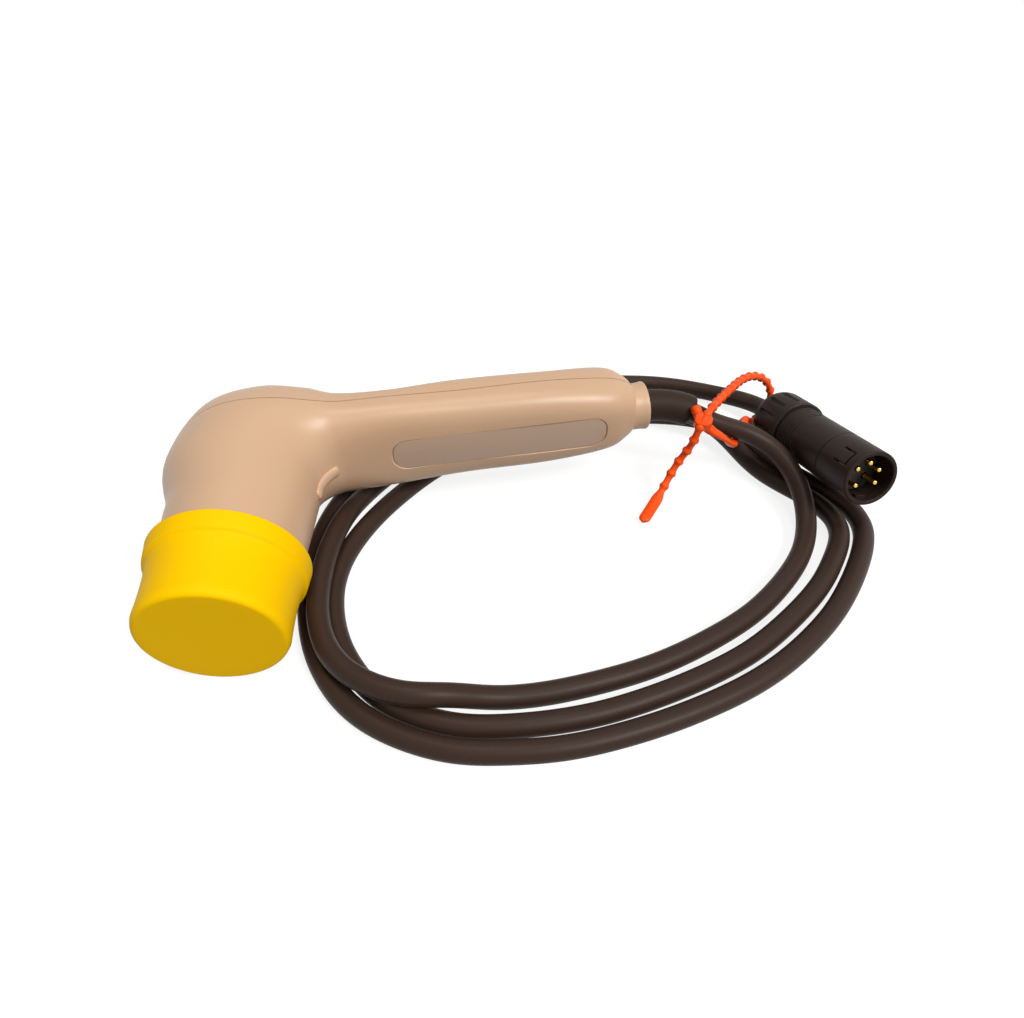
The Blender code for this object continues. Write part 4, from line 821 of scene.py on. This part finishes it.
# ---- operators
class THERAPYHEAD_OT_stage(bpy.types.Operator):
    """Adds the camera at the photograph's angle, the floor, the sky and the lamps"""
    bl_idname = "therapyhead.stage"
    bl_label = "Camera and stage"

    def execute(self, context):
        settings = context.scene.therapy_head.stage
        data = bpy.data.cameras.new("camera")
        data.sensor_width = SENSOR_WIDTH
        data.lens = settings.lens
        data.clip_start = CLIP_START
        camera = added("camera", data)
        axes = Matrix(CAMERA_AXES).transposed()
        camera.matrix_world = shift(*CAMERA_PLACE) @ axes.to_4x4()
        context.scene.camera = camera

        shape = bmesh.new()
        bmesh.ops.create_grid(shape, x_segments=1, y_segments=1, size=FLOOR_HALF)
        mesh = bpy.data.meshes.new("floor")
        shape.to_mesh(mesh)
        shape.free()
        floor = added("floor", mesh)
        floor.location = (0, 0, -FLOOR_DROP)
        mesh.materials.append(self.floor_material(settings))
        self.sky(context, settings)
        self.lamp("key_lamp", KEY_LAMP_PLACE, KEY_LAMP_ANGLE, settings.key_strength)
        self.lamp("top_lamp", TOP_LAMP_PLACE, TOP_LAMP_ANGLE, settings.top_strength)
        context.scene.view_settings.view_transform = "Standard"
        return {"FINISHED"}

    def seen(self, tree):
        """1 where a ray shows the background: from the camera, a reflection or through glass."""
        rays = add_node(tree, "ShaderNodeLightPath")
        near = maths(tree, "MAXIMUM", rays.outputs["Is Camera Ray"], rays.outputs["Is Glossy Ray"])
        return maths(tree, "MAXIMUM", near, rays.outputs["Is Transmission Ray"])

    def floor_material(self, settings):
        """A pale floor that shows white to the camera and still keeps the object's shadow."""
        made = bpy.data.materials.new("pale floor")
        made.use_nodes = True
        tree = made.node_tree
        shader = tree.nodes["Principled BSDF"]
        feed(tree, shader, {
            "Base Color": (*settings.floor_colour, 1.0), "Roughness": 0.9,
            "Specular IOR Level": 0.0, "Emission Color": (1.0, 1.0, 1.0, 1.0),
            "Emission Strength": maths(tree, "MULTIPLY", self.seen(tree), FLOOR_GLOW)})
        return made

    def sky(self, context, settings):
        """An even light all round, that shows white to the camera."""
        world = bpy.data.worlds.new("studio sky")
        context.scene.world = world
        world.use_nodes = True
        tree = world.node_tree
        background = tree.nodes["Background"]
        level = add_node(tree, "ShaderNodeMapRange", {
            "Value": self.seen(tree), "To Min": settings.sky_level, "To Max": 1.0})
        feed(tree, background, {
            "Color": (1.0, 1.0, 1.0, 1.0), "Strength": level.outputs["Result"]})

    def lamp(self, name, place, angle, strength):
        """A soft sun that shines from a place towards the object."""
        data = bpy.data.lights.new(name, "SUN")
        data.angle = angle
        data.energy = strength
        data.color = LAMP_COLOUR
        obj = added(name, data)
        obj.location = place
        obj.rotation_euler = (-Vector(place)).to_track_quat("-Z", "Y").to_euler()


class THERAPYHEAD_OT_cable(bpy.types.Operator):
    """Lays the cable from the clamp in the handle through its boot and three turns to the plug"""
    bl_idname = "therapyhead.cable"
    bl_label = "Cable and boot"

    def execute(self, context):
        settings = context.scene.therapy_head.cable
        path = cable_path()
        rubber = finish("cable rubber", settings.colour, 0.45, grain=1800.0, depth=0.000012,
                        drift=0.25, smudge=0.14, scuff=0.15, scuff_colour=(0.07, 0.05, 0.04),
                        sockets={"Specular IOR Level": 0.15})
        points = path[::2]
        if (len(path) - 1) % 2:
            points.append(path[-1])
        curve = bpy.data.curves.new("cable_jacket", "CURVE")
        curve.dimensions = "3D"
        curve.bevel_depth = settings.diameter / 2
        curve.bevel_resolution = 6
        curve.use_fill_caps = True
        spline = curve.splines.new("POLY")
        spline.points.add(len(points) - 1)
        spline.use_smooth = True
        for place, point in zip(spline.points, points):
            place.co = (*(TABLE @ point), 1.0)
        cable = added("cable_jacket", curve)
        curve.materials.append(rubber)
        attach(cable, "root")
        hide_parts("cable")
        self.boot(settings, path)
        return {"FINISHED"}

    def boot(self, settings, path):
        """A flanged sleeve on the cable's own line, with a rounded mouth and a bore."""
        start = BOOT_SEAT - SEAT_GAP - BOOT_FLANGE - CABLE_START
        seat = start + BOOT_FLANGE
        end = COLLAR_MOUTH - CABLE_START + BOOT_VISIBLE
        radius = settings.boot_radius
        bore = settings.diameter / 2 + CABLE_CLEARANCE
        rows = [(start, BOOT_FLANGE_RADIUS), (seat, BOOT_FLANGE_RADIUS), (seat, radius)]
        last = end - BOOT_EDGE
        for i in range(1, BOOT_POINTS + 1):
            rows.append((seat + (last - seat) * i / BOOT_POINTS, radius))
        for r, at in arc((radius - BOOT_EDGE, last), BOOT_EDGE, 15, 80, 5):
            rows.append((at, max(r, bore + BOOT_LIP)))
        for i in range(BOOT_POINTS + 1):
            rows.append((last + (start - last) * i / BOOT_POINTS, bore))
        rings = []
        for distance, r in rows:
            centre, direction = along(path, distance)
            rings.append(ring_about(centre, direction, r, r, 48))
        look = finish("boot rubber", settings.boot_colour, 0.55, grain=2200.0, depth=0.00002,
                      drift=0.2, smudge=0.10, scuff=0.15, scuff_colour=(0.06, 0.05, 0.04),
                      sockets={"Specular IOR Level": 0.12})
        boot = settle("cable_boot", skin(rings, closed=True), TABLE, look, 40)
        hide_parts("strain_relief_boot")


class THERAPYHEAD_OT_housing(bpy.types.Operator):
    """Moulds the front housing and the back cover"""
    bl_idname = "therapyhead.housing"
    bl_label = "Housing"

    def execute(self, context):
        settings = context.scene.therapy_head.head
        look = finish("beige moulding", settings.housing_colour, 0.38, grain=3200.0,
                      depth=0.000010, drift=0.05, smudge=0.10, sockets={"Specular IOR Level": 0.4})
        sections = housing_sections(RINGS_PER_SECTION)
        reach = 0.060
        length = COVER_END + reach
        space = (rounded_block((length, reach, 2 * reach)),
                 HANDLE @ shift(COVER_END - length / 2, PARTING_DEPTH + reach / 2, 0))
        end = COVER_END - SEAT_GAP
        kept = (rounded_block((end + reach, reach, 2 * reach)),
                HANDLE @ shift((end - reach) / 2, PARTING_DEPTH + SEAT_GAP + reach / 2, 0))
        front = self.body(sections, ("DIFFERENCE", *space), self.front_steps(settings, sections))
        front = settle("front_moulding", front, HEAD, look)
        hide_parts("front_housing")
        back = self.body(sections, ("INTERSECT", *kept), [])
        back = settle("back_moulding", back, HEAD, look)
        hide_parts("back_cover")
        return {"FINISHED"}

    def body(self, sections, parting, more):
        """One half of the housing: the hollow skin with its collar, parted, and its own steps."""
        edge = COLLAR_EDGE
        flat = COLLAR_RADIUS + COLLAR_FLARE - edge
        proud, back = COLLAR_FLARE_MIDDLE
        collar = turned([
            (0, COLLAR_MOUTH), (flat, COLLAR_MOUTH),
            *arc((flat, COLLAR_MOUTH - edge), edge, 70, 0, 3),
            (COLLAR_RADIUS + proud, COLLAR_MOUTH - back),
            (COLLAR_RADIUS, COLLAR_MOUTH - COLLAR_FLARE_LENGTH),
            (COLLAR_RADIUS, COLLAR_START), (0, COLLAR_START)], 64)
        mouth = [list(sections[0]) for _ in range(2)]
        mouth[0][1] -= WALL
        mouth[0][3] -= WALL
        inside = [s for s in sections[1:] if handle_distance(s) < BOOT_SEAT]
        cavity = skin([section_ring(s, WALL, 48) for s in mouth + inside[::2]])
        boot_hole = BOOT_RADIUS + SEAT_GAP
        bore = turned([
            (0, COLLAR_MOUTH + WALL), (boot_hole, COLLAR_MOUTH + WALL), (boot_hole, BOOT_SEAT),
            (BOOT_FLANGE_RADIUS + SEAT_GAP, BOOT_SEAT),
            (BOOT_FLANGE_RADIUS + SEAT_GAP, BOOT_SEAT - FLANGE_ROOM),
            (0, BOOT_SEAT - FLANGE_ROOM)], 48)
        outer = loose("outer", skin([section_ring(s) for s in sections]), HEAD)
        steps = [("UNION", collar, COLLAR), parting, ("DIFFERENCE", cavity, HEAD),
                 ("DIFFERENCE", bore, COLLAR)]
        return cut(outer, steps + more)

    def front_steps(self, settings, sections):
        """The label's recess, the raised rib in the elbow, and what stands on the inner wall."""
        plate_top = LABEL_RECESS - SEAT_GAP - LABEL_THICKNESS
        outlines = ((LABEL_RECESS, LABEL_MARGIN), (plate_top, LABEL_MARGIN),
                    (plate_top - LABEL_MARGIN, 0.0),
                    (plate_top - 4 * LABEL_MARGIN, -3 * LABEL_MARGIN))
        recess = skin([self.label_ring(depth, inset) for depth, inset in outlines])
        steps = [("DIFFERENCE", recess, LABEL)]
        first, last = (round(number * RINGS_PER_SECTION) for number in RIB_SECTIONS)
        line = []
        for section in sections[first:last + 1]:
            inner = Vector((section[0], section[1], 0))
            outer = Vector((section[2], section[3], 0))
            lift = settings.rib_proud - settings.rib_radius
            line.append(inner + (inner - outer).normalized() * lift)
        line = even_points(spline_points(line, 3), settings.rib_radius / 3)
        rings = []
        for i, centre in enumerate(line):
            ahead, behind = line[min(i + 1, len(line) - 1)], line[max(i - 1, 0)]
            from_end = min(i, len(line) - 1 - i) / 3
            swell = math.sqrt(1 - (1 - min(1.0, from_end + 0.15)) ** 2)
            rings.append(ring_about(
                centre, (ahead - behind).normalized(), settings.rib_radius * swell,
                settings.rib_half_width * swell, 24))
        steps.append(("UNION", skin(rings), HEAD))
        return steps + self.inner_stands()

    def label_ring(self, depth, inset, count=24):
        """The label recess's outline at a depth, drawn in all round, count points a corner."""
        radius = LABEL_CORNER - inset
        ring = []
        for i, (x, z) in enumerate(((1, 1), (-1, 1), (-1, -1), (1, -1))):
            centre = (x * (LABEL_LENGTH / 2 - LABEL_CORNER), z * (LABEL_HEIGHT / 2 - LABEL_CORNER))
            for px, pz in arc(centre, radius, 90 * i, 90 * i + 90, count - 1):
                ring.append(Vector((px, depth, pz)))
        return ring

    def inner_stands(self):
        """Bosses for the board, posts for the clamp and the saddle under the cable."""
        steps = []
        seat = BOARD_FRONT - SEAT_GAP
        hole_depth = SCREW_LENGTH - BOARD_THICKNESS - SEAT_GAP
        stands = [(at, side, BOSS_RADIUS, root, seat, hole_depth)
                  for at, side, root in BOARD_BOSSES]
        clamp_seat = COLLAR_DEPTH + CABLE_DIAMETER / 2
        for side in (-CLAMP_POST_SPACING / 2, CLAMP_POST_SPACING / 2):
            stands.append((CLAMP_AT, side, CLAMP_POST_RADIUS, CLAMP_ROOT, clamp_seat,
                           CLAMP_SCREW_LENGTH))
        for at, side, radius, root, top, depth in stands:
            place = DEPTH @ shift(at, side, 0)
            steps.append(("UNION", turned(
                [(0, top), (radius, top), (radius, root), (0, root)], 32), place))
            hole = SCREW_SHANK + SEAT_GAP
            steps.append(("DIFFERENCE", turned(
                [(0, top + WALL), (hole, top + WALL), (hole, top - depth), (0, top - depth)],
                24), place))
        saddle_top = COLLAR_DEPTH - CABLE_DIAMETER / 2 - SEAT_GAP
        saddle = rounded_block((CLAMP_SIZE[0], SADDLE_WIDTH, saddle_top - CLAMP_ROOT))
        middle = (saddle_top + CLAMP_ROOT) / 2
        steps.append(("UNION", saddle, DEPTH @ shift(CLAMP_AT, 0, middle)))
        return steps


class THERAPYHEAD_OT_label(bpy.types.Operator):
    """Sets the bare label plate in its recess"""
    bl_idname = "therapyhead.label"
    bl_label = "Label plate"

    def execute(self, context):
        settings = context.scene.therapy_head.head
        look = finish("label film", settings.label_colour, 0.30, grain=5000.0, depth=0.000004,
                      drift=0.04, smudge=0.12,
                      sockets={"Coat Weight": 0.15, "Coat Roughness": 0.15})
        inset = LABEL_MARGIN + SEAT_GAP / 2
        mesh = rounded_block(
            (LABEL_LENGTH - 2 * inset, LABEL_THICKNESS, LABEL_HEIGHT - 2 * inset),
            LABEL_CORNER - inset, axis=1, edge=LABEL_EDGE, segments=16)
        depth = LABEL_RECESS - SEAT_GAP - LABEL_THICKNESS / 2
        place = LABEL @ shift(0, depth, 0)
        plate = settle("label_film", mesh, place, look)
        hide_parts("label_plate")
        return {"FINISHED"}


class THERAPYHEAD_OT_cap(bpy.types.Operator):
    """Turns the push-on protective cap with its rim band and soft waist"""
    bl_idname = "therapyhead.cap"
    bl_label = "Protective cap"

    def execute(self, context):
        settings = context.scene.therapy_head.head
        look = finish("yellow cap", settings.cap_colour, 0.50, grain=1500.0, depth=0.000015,
                      drift=0.04, smudge=0.10, sockets={"Specular IOR Level": 0.05})
        rim_at = CAP_END_AT - CAP_LENGTH
        slope = (CAP_RIM_RADIUS - CAP_END_RADIUS) / CAP_LENGTH

        def cone(at):
            """The radius of the plain cone at a height."""
            return CAP_END_RADIUS + slope * (CAP_END_AT - at)

        band_at = rim_at + settings.cap_band
        step = settings.cap_step
        edge = settings.cap_edge
        side = []
        near_end = CAP_END_AT - edge - CAP_FLANK_START
        near_band = band_at + CAP_STEP_START
        for i in range(CAP_FLANK_POINTS + 1):
            at = near_end + (near_band - near_end) * i / CAP_FLANK_POINTS
            waist = math.sin(math.pi * i / CAP_FLANK_POINTS)
            drawn_in = step * min(1.0, i / CAP_STEP_POINTS)
            side.append((cone(at) - drawn_in - CAP_WAIST * waist, at))
        soft = []
        for i in range(1, 6):
            share = i / 6
            at = near_band - CAP_STEP_RUN * share
            smooth = share * share * (3 - 2 * share)
            soft.append((cone(at) - step * (1 - smooth), at))
        rim_round = CAP_RIM_ROUND
        by_step = band_at - CAP_BAND_BY_STEP
        by_rim = rim_at + rim_round + CAP_BAND_BY_RIM
        inner_end = FACE_AT + SEAT_GAP
        shoulder_share = (FACE_AT - FACE_EDGE - NECK_MOUTH_AT) / (FACE_AT - NECK_MOUTH_AT)
        inner_side = NECK_MOUTH_RADIUS + (FACE_RADIUS - NECK_MOUTH_RADIUS) * shoulder_share
        profile = [
            *((r, CAP_END_AT) for r in CAP_END_POINTS),
            *arc((CAP_END_RADIUS - edge, CAP_END_AT - edge), edge, 90, 8, 8),
            *side, *soft,
            (cone(by_step), by_step), (cone(by_rim), by_rim),
            *arc((CAP_RIM_RADIUS - rim_round, rim_at + rim_round), rim_round, 0, -90, 4),
            (neck_radius(rim_at) + SEAT_GAP, rim_at),
            (NECK_MOUTH_RADIUS + SEAT_GAP, NECK_MOUTH_AT),
            (inner_side + SEAT_GAP, FACE_AT - FACE_EDGE),
            (FACE_RADIUS + SEAT_GAP - FACE_EDGE, inner_end),
            (0, inner_end),
        ]
        cap = settle("yellow_cap", turned(profile, 128), NECK, look, 40)
        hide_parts("protective_cap")
        return {"FINISHED"}


class THERAPYHEAD_OT_plug(bpy.types.Operator):
    """Makes the plug: latched sleeve, ribbed body, pin insert with pins, and fluted clamp nut"""
    bl_idname = "therapyhead.plug"
    bl_label = "Plug"

    def execute(self, context):
        settings = context.scene.therapy_head.plug
        shell = finish("plug shell", settings.shell_colour, 0.45, grain=4000.0, depth=0.000015,
                       drift=0.2, smudge=0.12, scuff=0.12, scuff_colour=(0.10, 0.09, 0.08),
                       edge_wear=0.35, sockets={"Specular IOR Level": 0.12})
        insert_look = finish("pin insert plastic", (0.012, 0.010, 0.009), 0.5, grain=3000.0)
        gold = finish("gold plating", settings.pin_colour, 0.22, metallic=1.0, grain=6000.0,
                      depth=0.000002, drift=0.1, smudge=0.08)
        self.sleeve(settings, shell)
        self.body(settings, shell)
        self.nut(settings, shell)
        self.insert(settings, insert_look, gold)
        return {"FINISHED"}

    def sleeve(self, settings, look):
        """The open front sleeve with the key inside and the slots of its latch tab."""
        end = -(SLEEVE_LENGTH - SEAT_GAP / 2)
        lip = SLEEVE_LIP
        mesh = turned([
            *arc((PLUG_RADIUS - lip, -lip), lip, 90, 0, 4),
            (PLUG_RADIUS, end + PLUG_EDGE), (PLUG_RADIUS - PLUG_EDGE, end),
            (PLUG_BORE, end), (PLUG_BORE, -lip),
            *arc((PLUG_BORE + lip * 0.8, -lip * 0.8), lip * 0.8, 170, 100, 3),
        ], 96, closed=True)
        base = loose("sleeve", mesh, PLUG)
        middle = (PLUG_RADIUS + PLUG_BORE) / 2
        turned_by = PLUG @ turn(z=LATCH_ANGLE)
        steps = []
        for side in (-1, 1):
            slot = rounded_block((LATCH_CUT, settings.latch_slot, LATCH_LENGTH), LATCH_CORNER,
                                 axis=0)
            place = shift(middle, side * LATCH_WIDTH / 2, -LATCH_FRONT - LATCH_LENGTH / 2)
            steps.append(("DIFFERENCE", slot, turned_by @ place))
        front = rounded_block((LATCH_GROOVE, LATCH_WIDTH, settings.latch_slot))
        place = shift(PLUG_RADIUS, 0, -LATCH_FRONT - settings.latch_slot / 2)
        steps.append(("DIFFERENCE", front, turned_by @ place))
        key = rounded_block(KEY_SIZE, KEY_CORNER, axis=0, edge=KEY_EDGE)
        at_key = PLUG @ turn(z=KEY_ANGLE)
        steps.append(("UNION", key, at_key @ shift(PLUG_BORE - KEY_ROOT, 0, -KEY_AT)))
        sleeve = settle("plug_front_sleeve", cut(base, steps), PLUG, look, 30)
        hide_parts("plug_sleeve")

    def body(self, settings, look):
        """The plug's body with its grip ribs and the spigot under the nut."""
        start = -(SLEEVE_LENGTH + SEAT_GAP / 2)
        end = -(BODY_END - SEAT_GAP / 2)
        floor_at, floor_ends, ends = GRIP_GROOVE
        first = end + GRIP_RIBS_FROM_END + GRIP_RIBS * GRIP_RIB_PITCH
        profile = [(PLUG_RADIUS - PLUG_EDGE, start), (PLUG_RADIUS, start - PLUG_EDGE),
                   (PLUG_RADIUS, first + ends)]
        low = PLUG_RADIUS - settings.rib_height
        for i in range(GRIP_RIBS):
            at = first - i * GRIP_RIB_PITCH
            profile += [(PLUG_RADIUS, at), (low, at - floor_at), (low, at - floor_ends),
                        (PLUG_RADIUS, at - ends)]
        profile += [
            (PLUG_RADIUS, end + PLUG_EDGE), (PLUG_RADIUS - PLUG_EDGE, end),
            (BODY_SPIGOT_RADIUS, end),
            (BODY_SPIGOT_RADIUS, -BODY_SPIGOT_END), (BODY_BORE, -BODY_SPIGOT_END),
            (BODY_BORE, start),
        ]
        body = settle("plug_grip", turned(profile, 96, closed=True), PLUG, look, 30)
        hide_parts("plug_body")

    def nut(self, settings, look):
        """The clamp nut with its round shoulder and its flutes."""
        start = -(BODY_END + SEAT_GAP / 2)
        thread = BODY_SPIGOT_RADIUS + SEAT_GAP
        hole = CABLE_DIAMETER / 2 + SEAT_GAP
        rear_wall = -(NUT_END - NUT_REAR_WALL)
        shoulder = []
        for i in range(9):
            angle = math.pi / 2 * i / 8
            r = NUT_REAR_RADIUS + (NUT_RADIUS - NUT_REAR_RADIUS) * math.cos(angle)
            shoulder.append((r, NUT_ROUND_LENGTH - NUT_END - NUT_ROUND_HEIGHT * math.sin(angle)))
        mesh = turned([
            *((NUT_RADIUS - inward, start - back) for inward, back in NUT_FRONT_EDGE),
            *shoulder, (NUT_REAR_RADIUS - NUT_REAR_EDGE, -NUT_END), (hole, -NUT_END),
            (hole, rear_wall), (thread, rear_wall), (thread, start),
        ], 96, closed=True)
        steps = []
        r = settings.groove_radius
        top = start - FLUTE_FROM_FACE
        for i in range(FLUTES):
            flute = turned([
                (0, top), *arc((0, top - r), r, 75, 0, 3), (r, top - FLUTE_LENGTH + r),
                *arc((0, top - FLUTE_LENGTH + r), r, -15, -75, 3), (0, top - FLUTE_LENGTH)], 16)
            place = PLUG @ turn(z=2 * math.pi * i / FLUTES)
            place = place @ shift(NUT_RADIUS + r * FLUTE_OUT, 0, 0)
            steps.append(("DIFFERENCE", flute, place))
        nut = settle("plug_clamp_nut", cut(loose("nut", mesh, PLUG), steps), PLUG, look,
                     30)
        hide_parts("clamp_nut")

    def insert(self, settings, look, gold):
        """The insert that holds the pins, and the pins."""
        radius = PLUG_BORE - SEAT_GAP
        base = -(INSERT_FRONT + INSERT_THICKNESS)
        mesh = turned([
            (0, -INSERT_FRONT), (radius - PLUG_EDGE, -INSERT_FRONT),
            (radius, -INSERT_FRONT - PLUG_EDGE),
            (radius, base), (0, base)], 64)
        hole = settings.pin_radius + SEAT_GAP
        high = -INSERT_FRONT + PIN_HOLE_OVER
        low = base - PIN_HOLE_OVER
        steps = []
        for degrees in PIN_ANGLES:
            drill = turned([(0, high), (hole, high), (hole, low), (0, low)], 24)
            steps.append(("DIFFERENCE", drill, self.pin_place(degrees)))
        disc = settle("plug_pin_insert", cut(loose("disc", mesh, PLUG), steps), PLUG, look,
                      30)
        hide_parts("pin_insert")
        r = settings.pin_radius
        for i, degrees in enumerate(PIN_ANGLES, 1):
            pin = turned([
                (0, -PIN_FRONT), *arc((r * 0.3, -PIN_FRONT - r * 0.7), r * 0.7, 85, 0, 6),
                (r, base - PIN_TAIL), (0, base - PIN_TAIL)], 32)
            pin = settle(f"gold_pin_{i}", pin, self.pin_place(degrees), gold, 40)
            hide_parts(f"contact_pin_{i}")

    def pin_place(self, degrees):
        """The frame of the pin at an angle on the pin circle."""
        return PLUG @ turn(z=math.radians(degrees)) @ shift(PIN_CIRCLE, 0, 0)


class THERAPYHEAD_OT_tie(bpy.types.Operator):
    """Strings the beaded cable tie round the cable and through its own eye"""
    bl_idname = "therapyhead.tie"
    bl_label = "Cable tie"

    def execute(self, context):
        settings = context.scene.therapy_head.tie
        look = finish("orange strap", settings.colour, 0.42, grain=1500.0, depth=0.00001,
                      drift=0.12, smudge=0.10, sockets={"Specular IOR Level": 0.2})
        path = spline_points([route_point(p) for p in TIE_ROUTE], 8)
        path = relaxed(even_points(path, TIE_STEP), 3, 2)
        total = run_lengths(path)[-1]
        count = int(total / (settings.pitch / 10))
        rings = []
        for i in range(count + 1):
            distance = total * i / count
            centre, direction = along(path, distance)
            wide, thick = self.radii(settings, distance, total - distance)
            rings.append(ring_about(centre, direction, wide, thick, 20))
        eye = rounded_block(TIE_EYE, TIE_EYE_CORNER, axis=2, edge=TIE_EYE_EDGE)
        place = shift(*TIE_EYE_PLACE) @ turn(*TIE_EYE_TURN)
        mesh = joined([(skin(rings), Matrix()), (eye, place)])
        tie = settle("beaded_tie", mesh, TABLE, look, 50)
        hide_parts("cable_tie")
        return {"FINISHED"}

    def radii(self, settings, distance, left):
        """Half width and half thickness of the strap at a distance from its start."""
        phase = (distance / settings.pitch) % 1.0
        bead = math.exp(-((phase - 0.5) / BEAD_SPREAD) ** 2)
        wide = settings.neck_radius + (settings.bead_radius - settings.neck_radius) * bead
        thick = wide
        rod = settings.bead_radius
        if distance < TIE_ROD:
            from_end = min(1.0, 0.25 + distance / rod)
            wide = thick = rod * math.sqrt(1 - (1 - from_end) ** 2)
        elif distance < TIE_FLAT:
            share = math.sin(math.pi * (distance - TIE_ROD) / (TIE_FLAT - TIE_ROD)) ** 0.5
            wide = rod + (settings.paddle_width - rod) * share
            thick = rod + (settings.paddle_thickness - rod) * share
        if left < TIE_PADDLE_LENGTH:
            taper = max(0.0, (left / TIE_PADDLE_LENGTH - TAIL_FROM) / TAIL_RUN)
            share = 0.5 + 0.5 * math.cos(math.pi * taper)
            tip = math.sqrt(1 - (1 - min(1.0, 0.04 + left / settings.paddle_width)) ** 2)
            wide = settings.neck_radius + (settings.paddle_width - settings.neck_radius) * share
            wide *= tip
            thick = settings.paddle_thickness * max(tip, 0.5)
        return wide, thick


class THERAPYHEAD_OT_inner_parts(bpy.types.Operator):
    """Gives the pieces inside the head their own finishes"""
    bl_idname = "therapyhead.inner_parts"
    bl_label = "Inner parts"

    def execute(self, context):
        # Each finish: its name, colour, roughness, metallic and nodes
        looks = (
            ("turned aluminium", (0.78, 0.78, 0.79), 0.24, 1.0, "applicator"),
            ("seal rubber", (0.03, 0.03, 0.03), 0.6, 0.0, "applicator_seal cable_gland"),
            ("silvered ceramic", (0.85, 0.84, 0.80), 0.3, 1.0, "piezo_crystal"),
            ("white insulator", (0.75, 0.74, 0.70), 0.5, 0.0, "crystal_holder contact_carrier"),
            ("spring wire", (0.70, 0.68, 0.62), 0.3, 1.0, "contact_spring"),
            ("board laminate", (0.03, 0.16, 0.07), 0.45, 0.0, "matching_board"),
            ("coil winding", (0.45, 0.20, 0.08), 0.4, 0.0, "matching_coil"),
            ("capacitor dip", (0.05, 0.13, 0.35), 0.4, 0.0, "capacitor"),
            ("plated steel", (0.62, 0.62, 0.63), 0.3, 1.0,
             "board_screw_1 board_screw_2 clamp_screw_1 clamp_screw_2"),
            ("red lead", (0.50, 0.03, 0.02), 0.5, 0.0, "signal_lead signal_core"),
            ("black lead", (0.02, 0.02, 0.02), 0.5, 0.0, "ground_lead ground_core"),
            ("clamp plastic", (0.05, 0.05, 0.05), 0.5, 0.0, "cable_clamp"),
        )
        for name, colour, roughness, metallic, nodes in looks:
            look = finish(name, colour, roughness, metallic=metallic)
            for node in nodes.split():
                mesh = NODES[node].data
                mesh.materials.clear()
                mesh.materials.append(look)
        return {"FINISHED"}


class THERAPYHEAD_OT_declare_cord(bpy.types.Operator):
    bl_idname = "therapyhead.declare_cord"
    bl_label = "Declare the cord"

    def execute(self, context):
        names = ["plug_front_sleeve", "plug_grip", "plug_clamp_nut", "plug_pin_insert",
                 "cable_boot", "beaded_tie"]
        names += [f"gold_pin_{i}" for i in range(1, len(PIN_ANGLES) + 1)]
        return {"FINISHED"}


class THERAPYHEAD_PT_panel(bpy.types.Panel):
    """Sizes, colours and builders of the therapy head"""
    bl_idname = "THERAPYHEAD_PT_panel"
    bl_label = "Therapy Head"
    bl_space_type = "VIEW_3D"
    bl_region_type = "UI"
    bl_category = "Therapy Head"

    def draw(self, context):
        settings = context.scene.therapy_head
        for name in ("head", "cable", "plug", "tie", "stage"):
            group = getattr(settings, name)
            box = self.layout.box()
            box.label(text=name.capitalize())
            for key in group.__annotations__:
                box.prop(group, key)
        for operator in OPERATORS:
            self.layout.operator(operator.bl_idname)


OPERATORS = (
    THERAPYHEAD_OT_stage,
    THERAPYHEAD_OT_cable,
    THERAPYHEAD_OT_housing,
    THERAPYHEAD_OT_label,
    THERAPYHEAD_OT_cap,
    THERAPYHEAD_OT_plug,
    THERAPYHEAD_OT_tie,
    THERAPYHEAD_OT_inner_parts,
    THERAPYHEAD_OT_declare_cord,
)
CLASSES = (
    HeadSettings,
    CableSettings,
    PlugSettings,
    TieSettings,
    StageSettings,
    TherapyHeadSettings,
    *OPERATORS,
    THERAPYHEAD_PT_panel,
)


def register():
    for cls in CLASSES:
        bpy.utils.register_class(cls)
    bpy.types.Scene.therapy_head = PointerProperty(type=TherapyHeadSettings)


def unregister():
    del bpy.types.Scene.therapy_head
    for cls in reversed(CLASSES):
        bpy.utils.unregister_class(cls)


def main():
    """Builds the object."""
    register()
    bpy.ops.therapyhead.stage()
    bpy.ops.therapyhead.cable()
    bpy.ops.therapyhead.housing()
    bpy.ops.therapyhead.label()
    bpy.ops.therapyhead.cap()
    bpy.ops.therapyhead.plug()
    bpy.ops.therapyhead.tie()
    bpy.ops.therapyhead.inner_parts()
    bpy.ops.therapyhead.declare_cord()


if __name__ == "__main__":
    main()
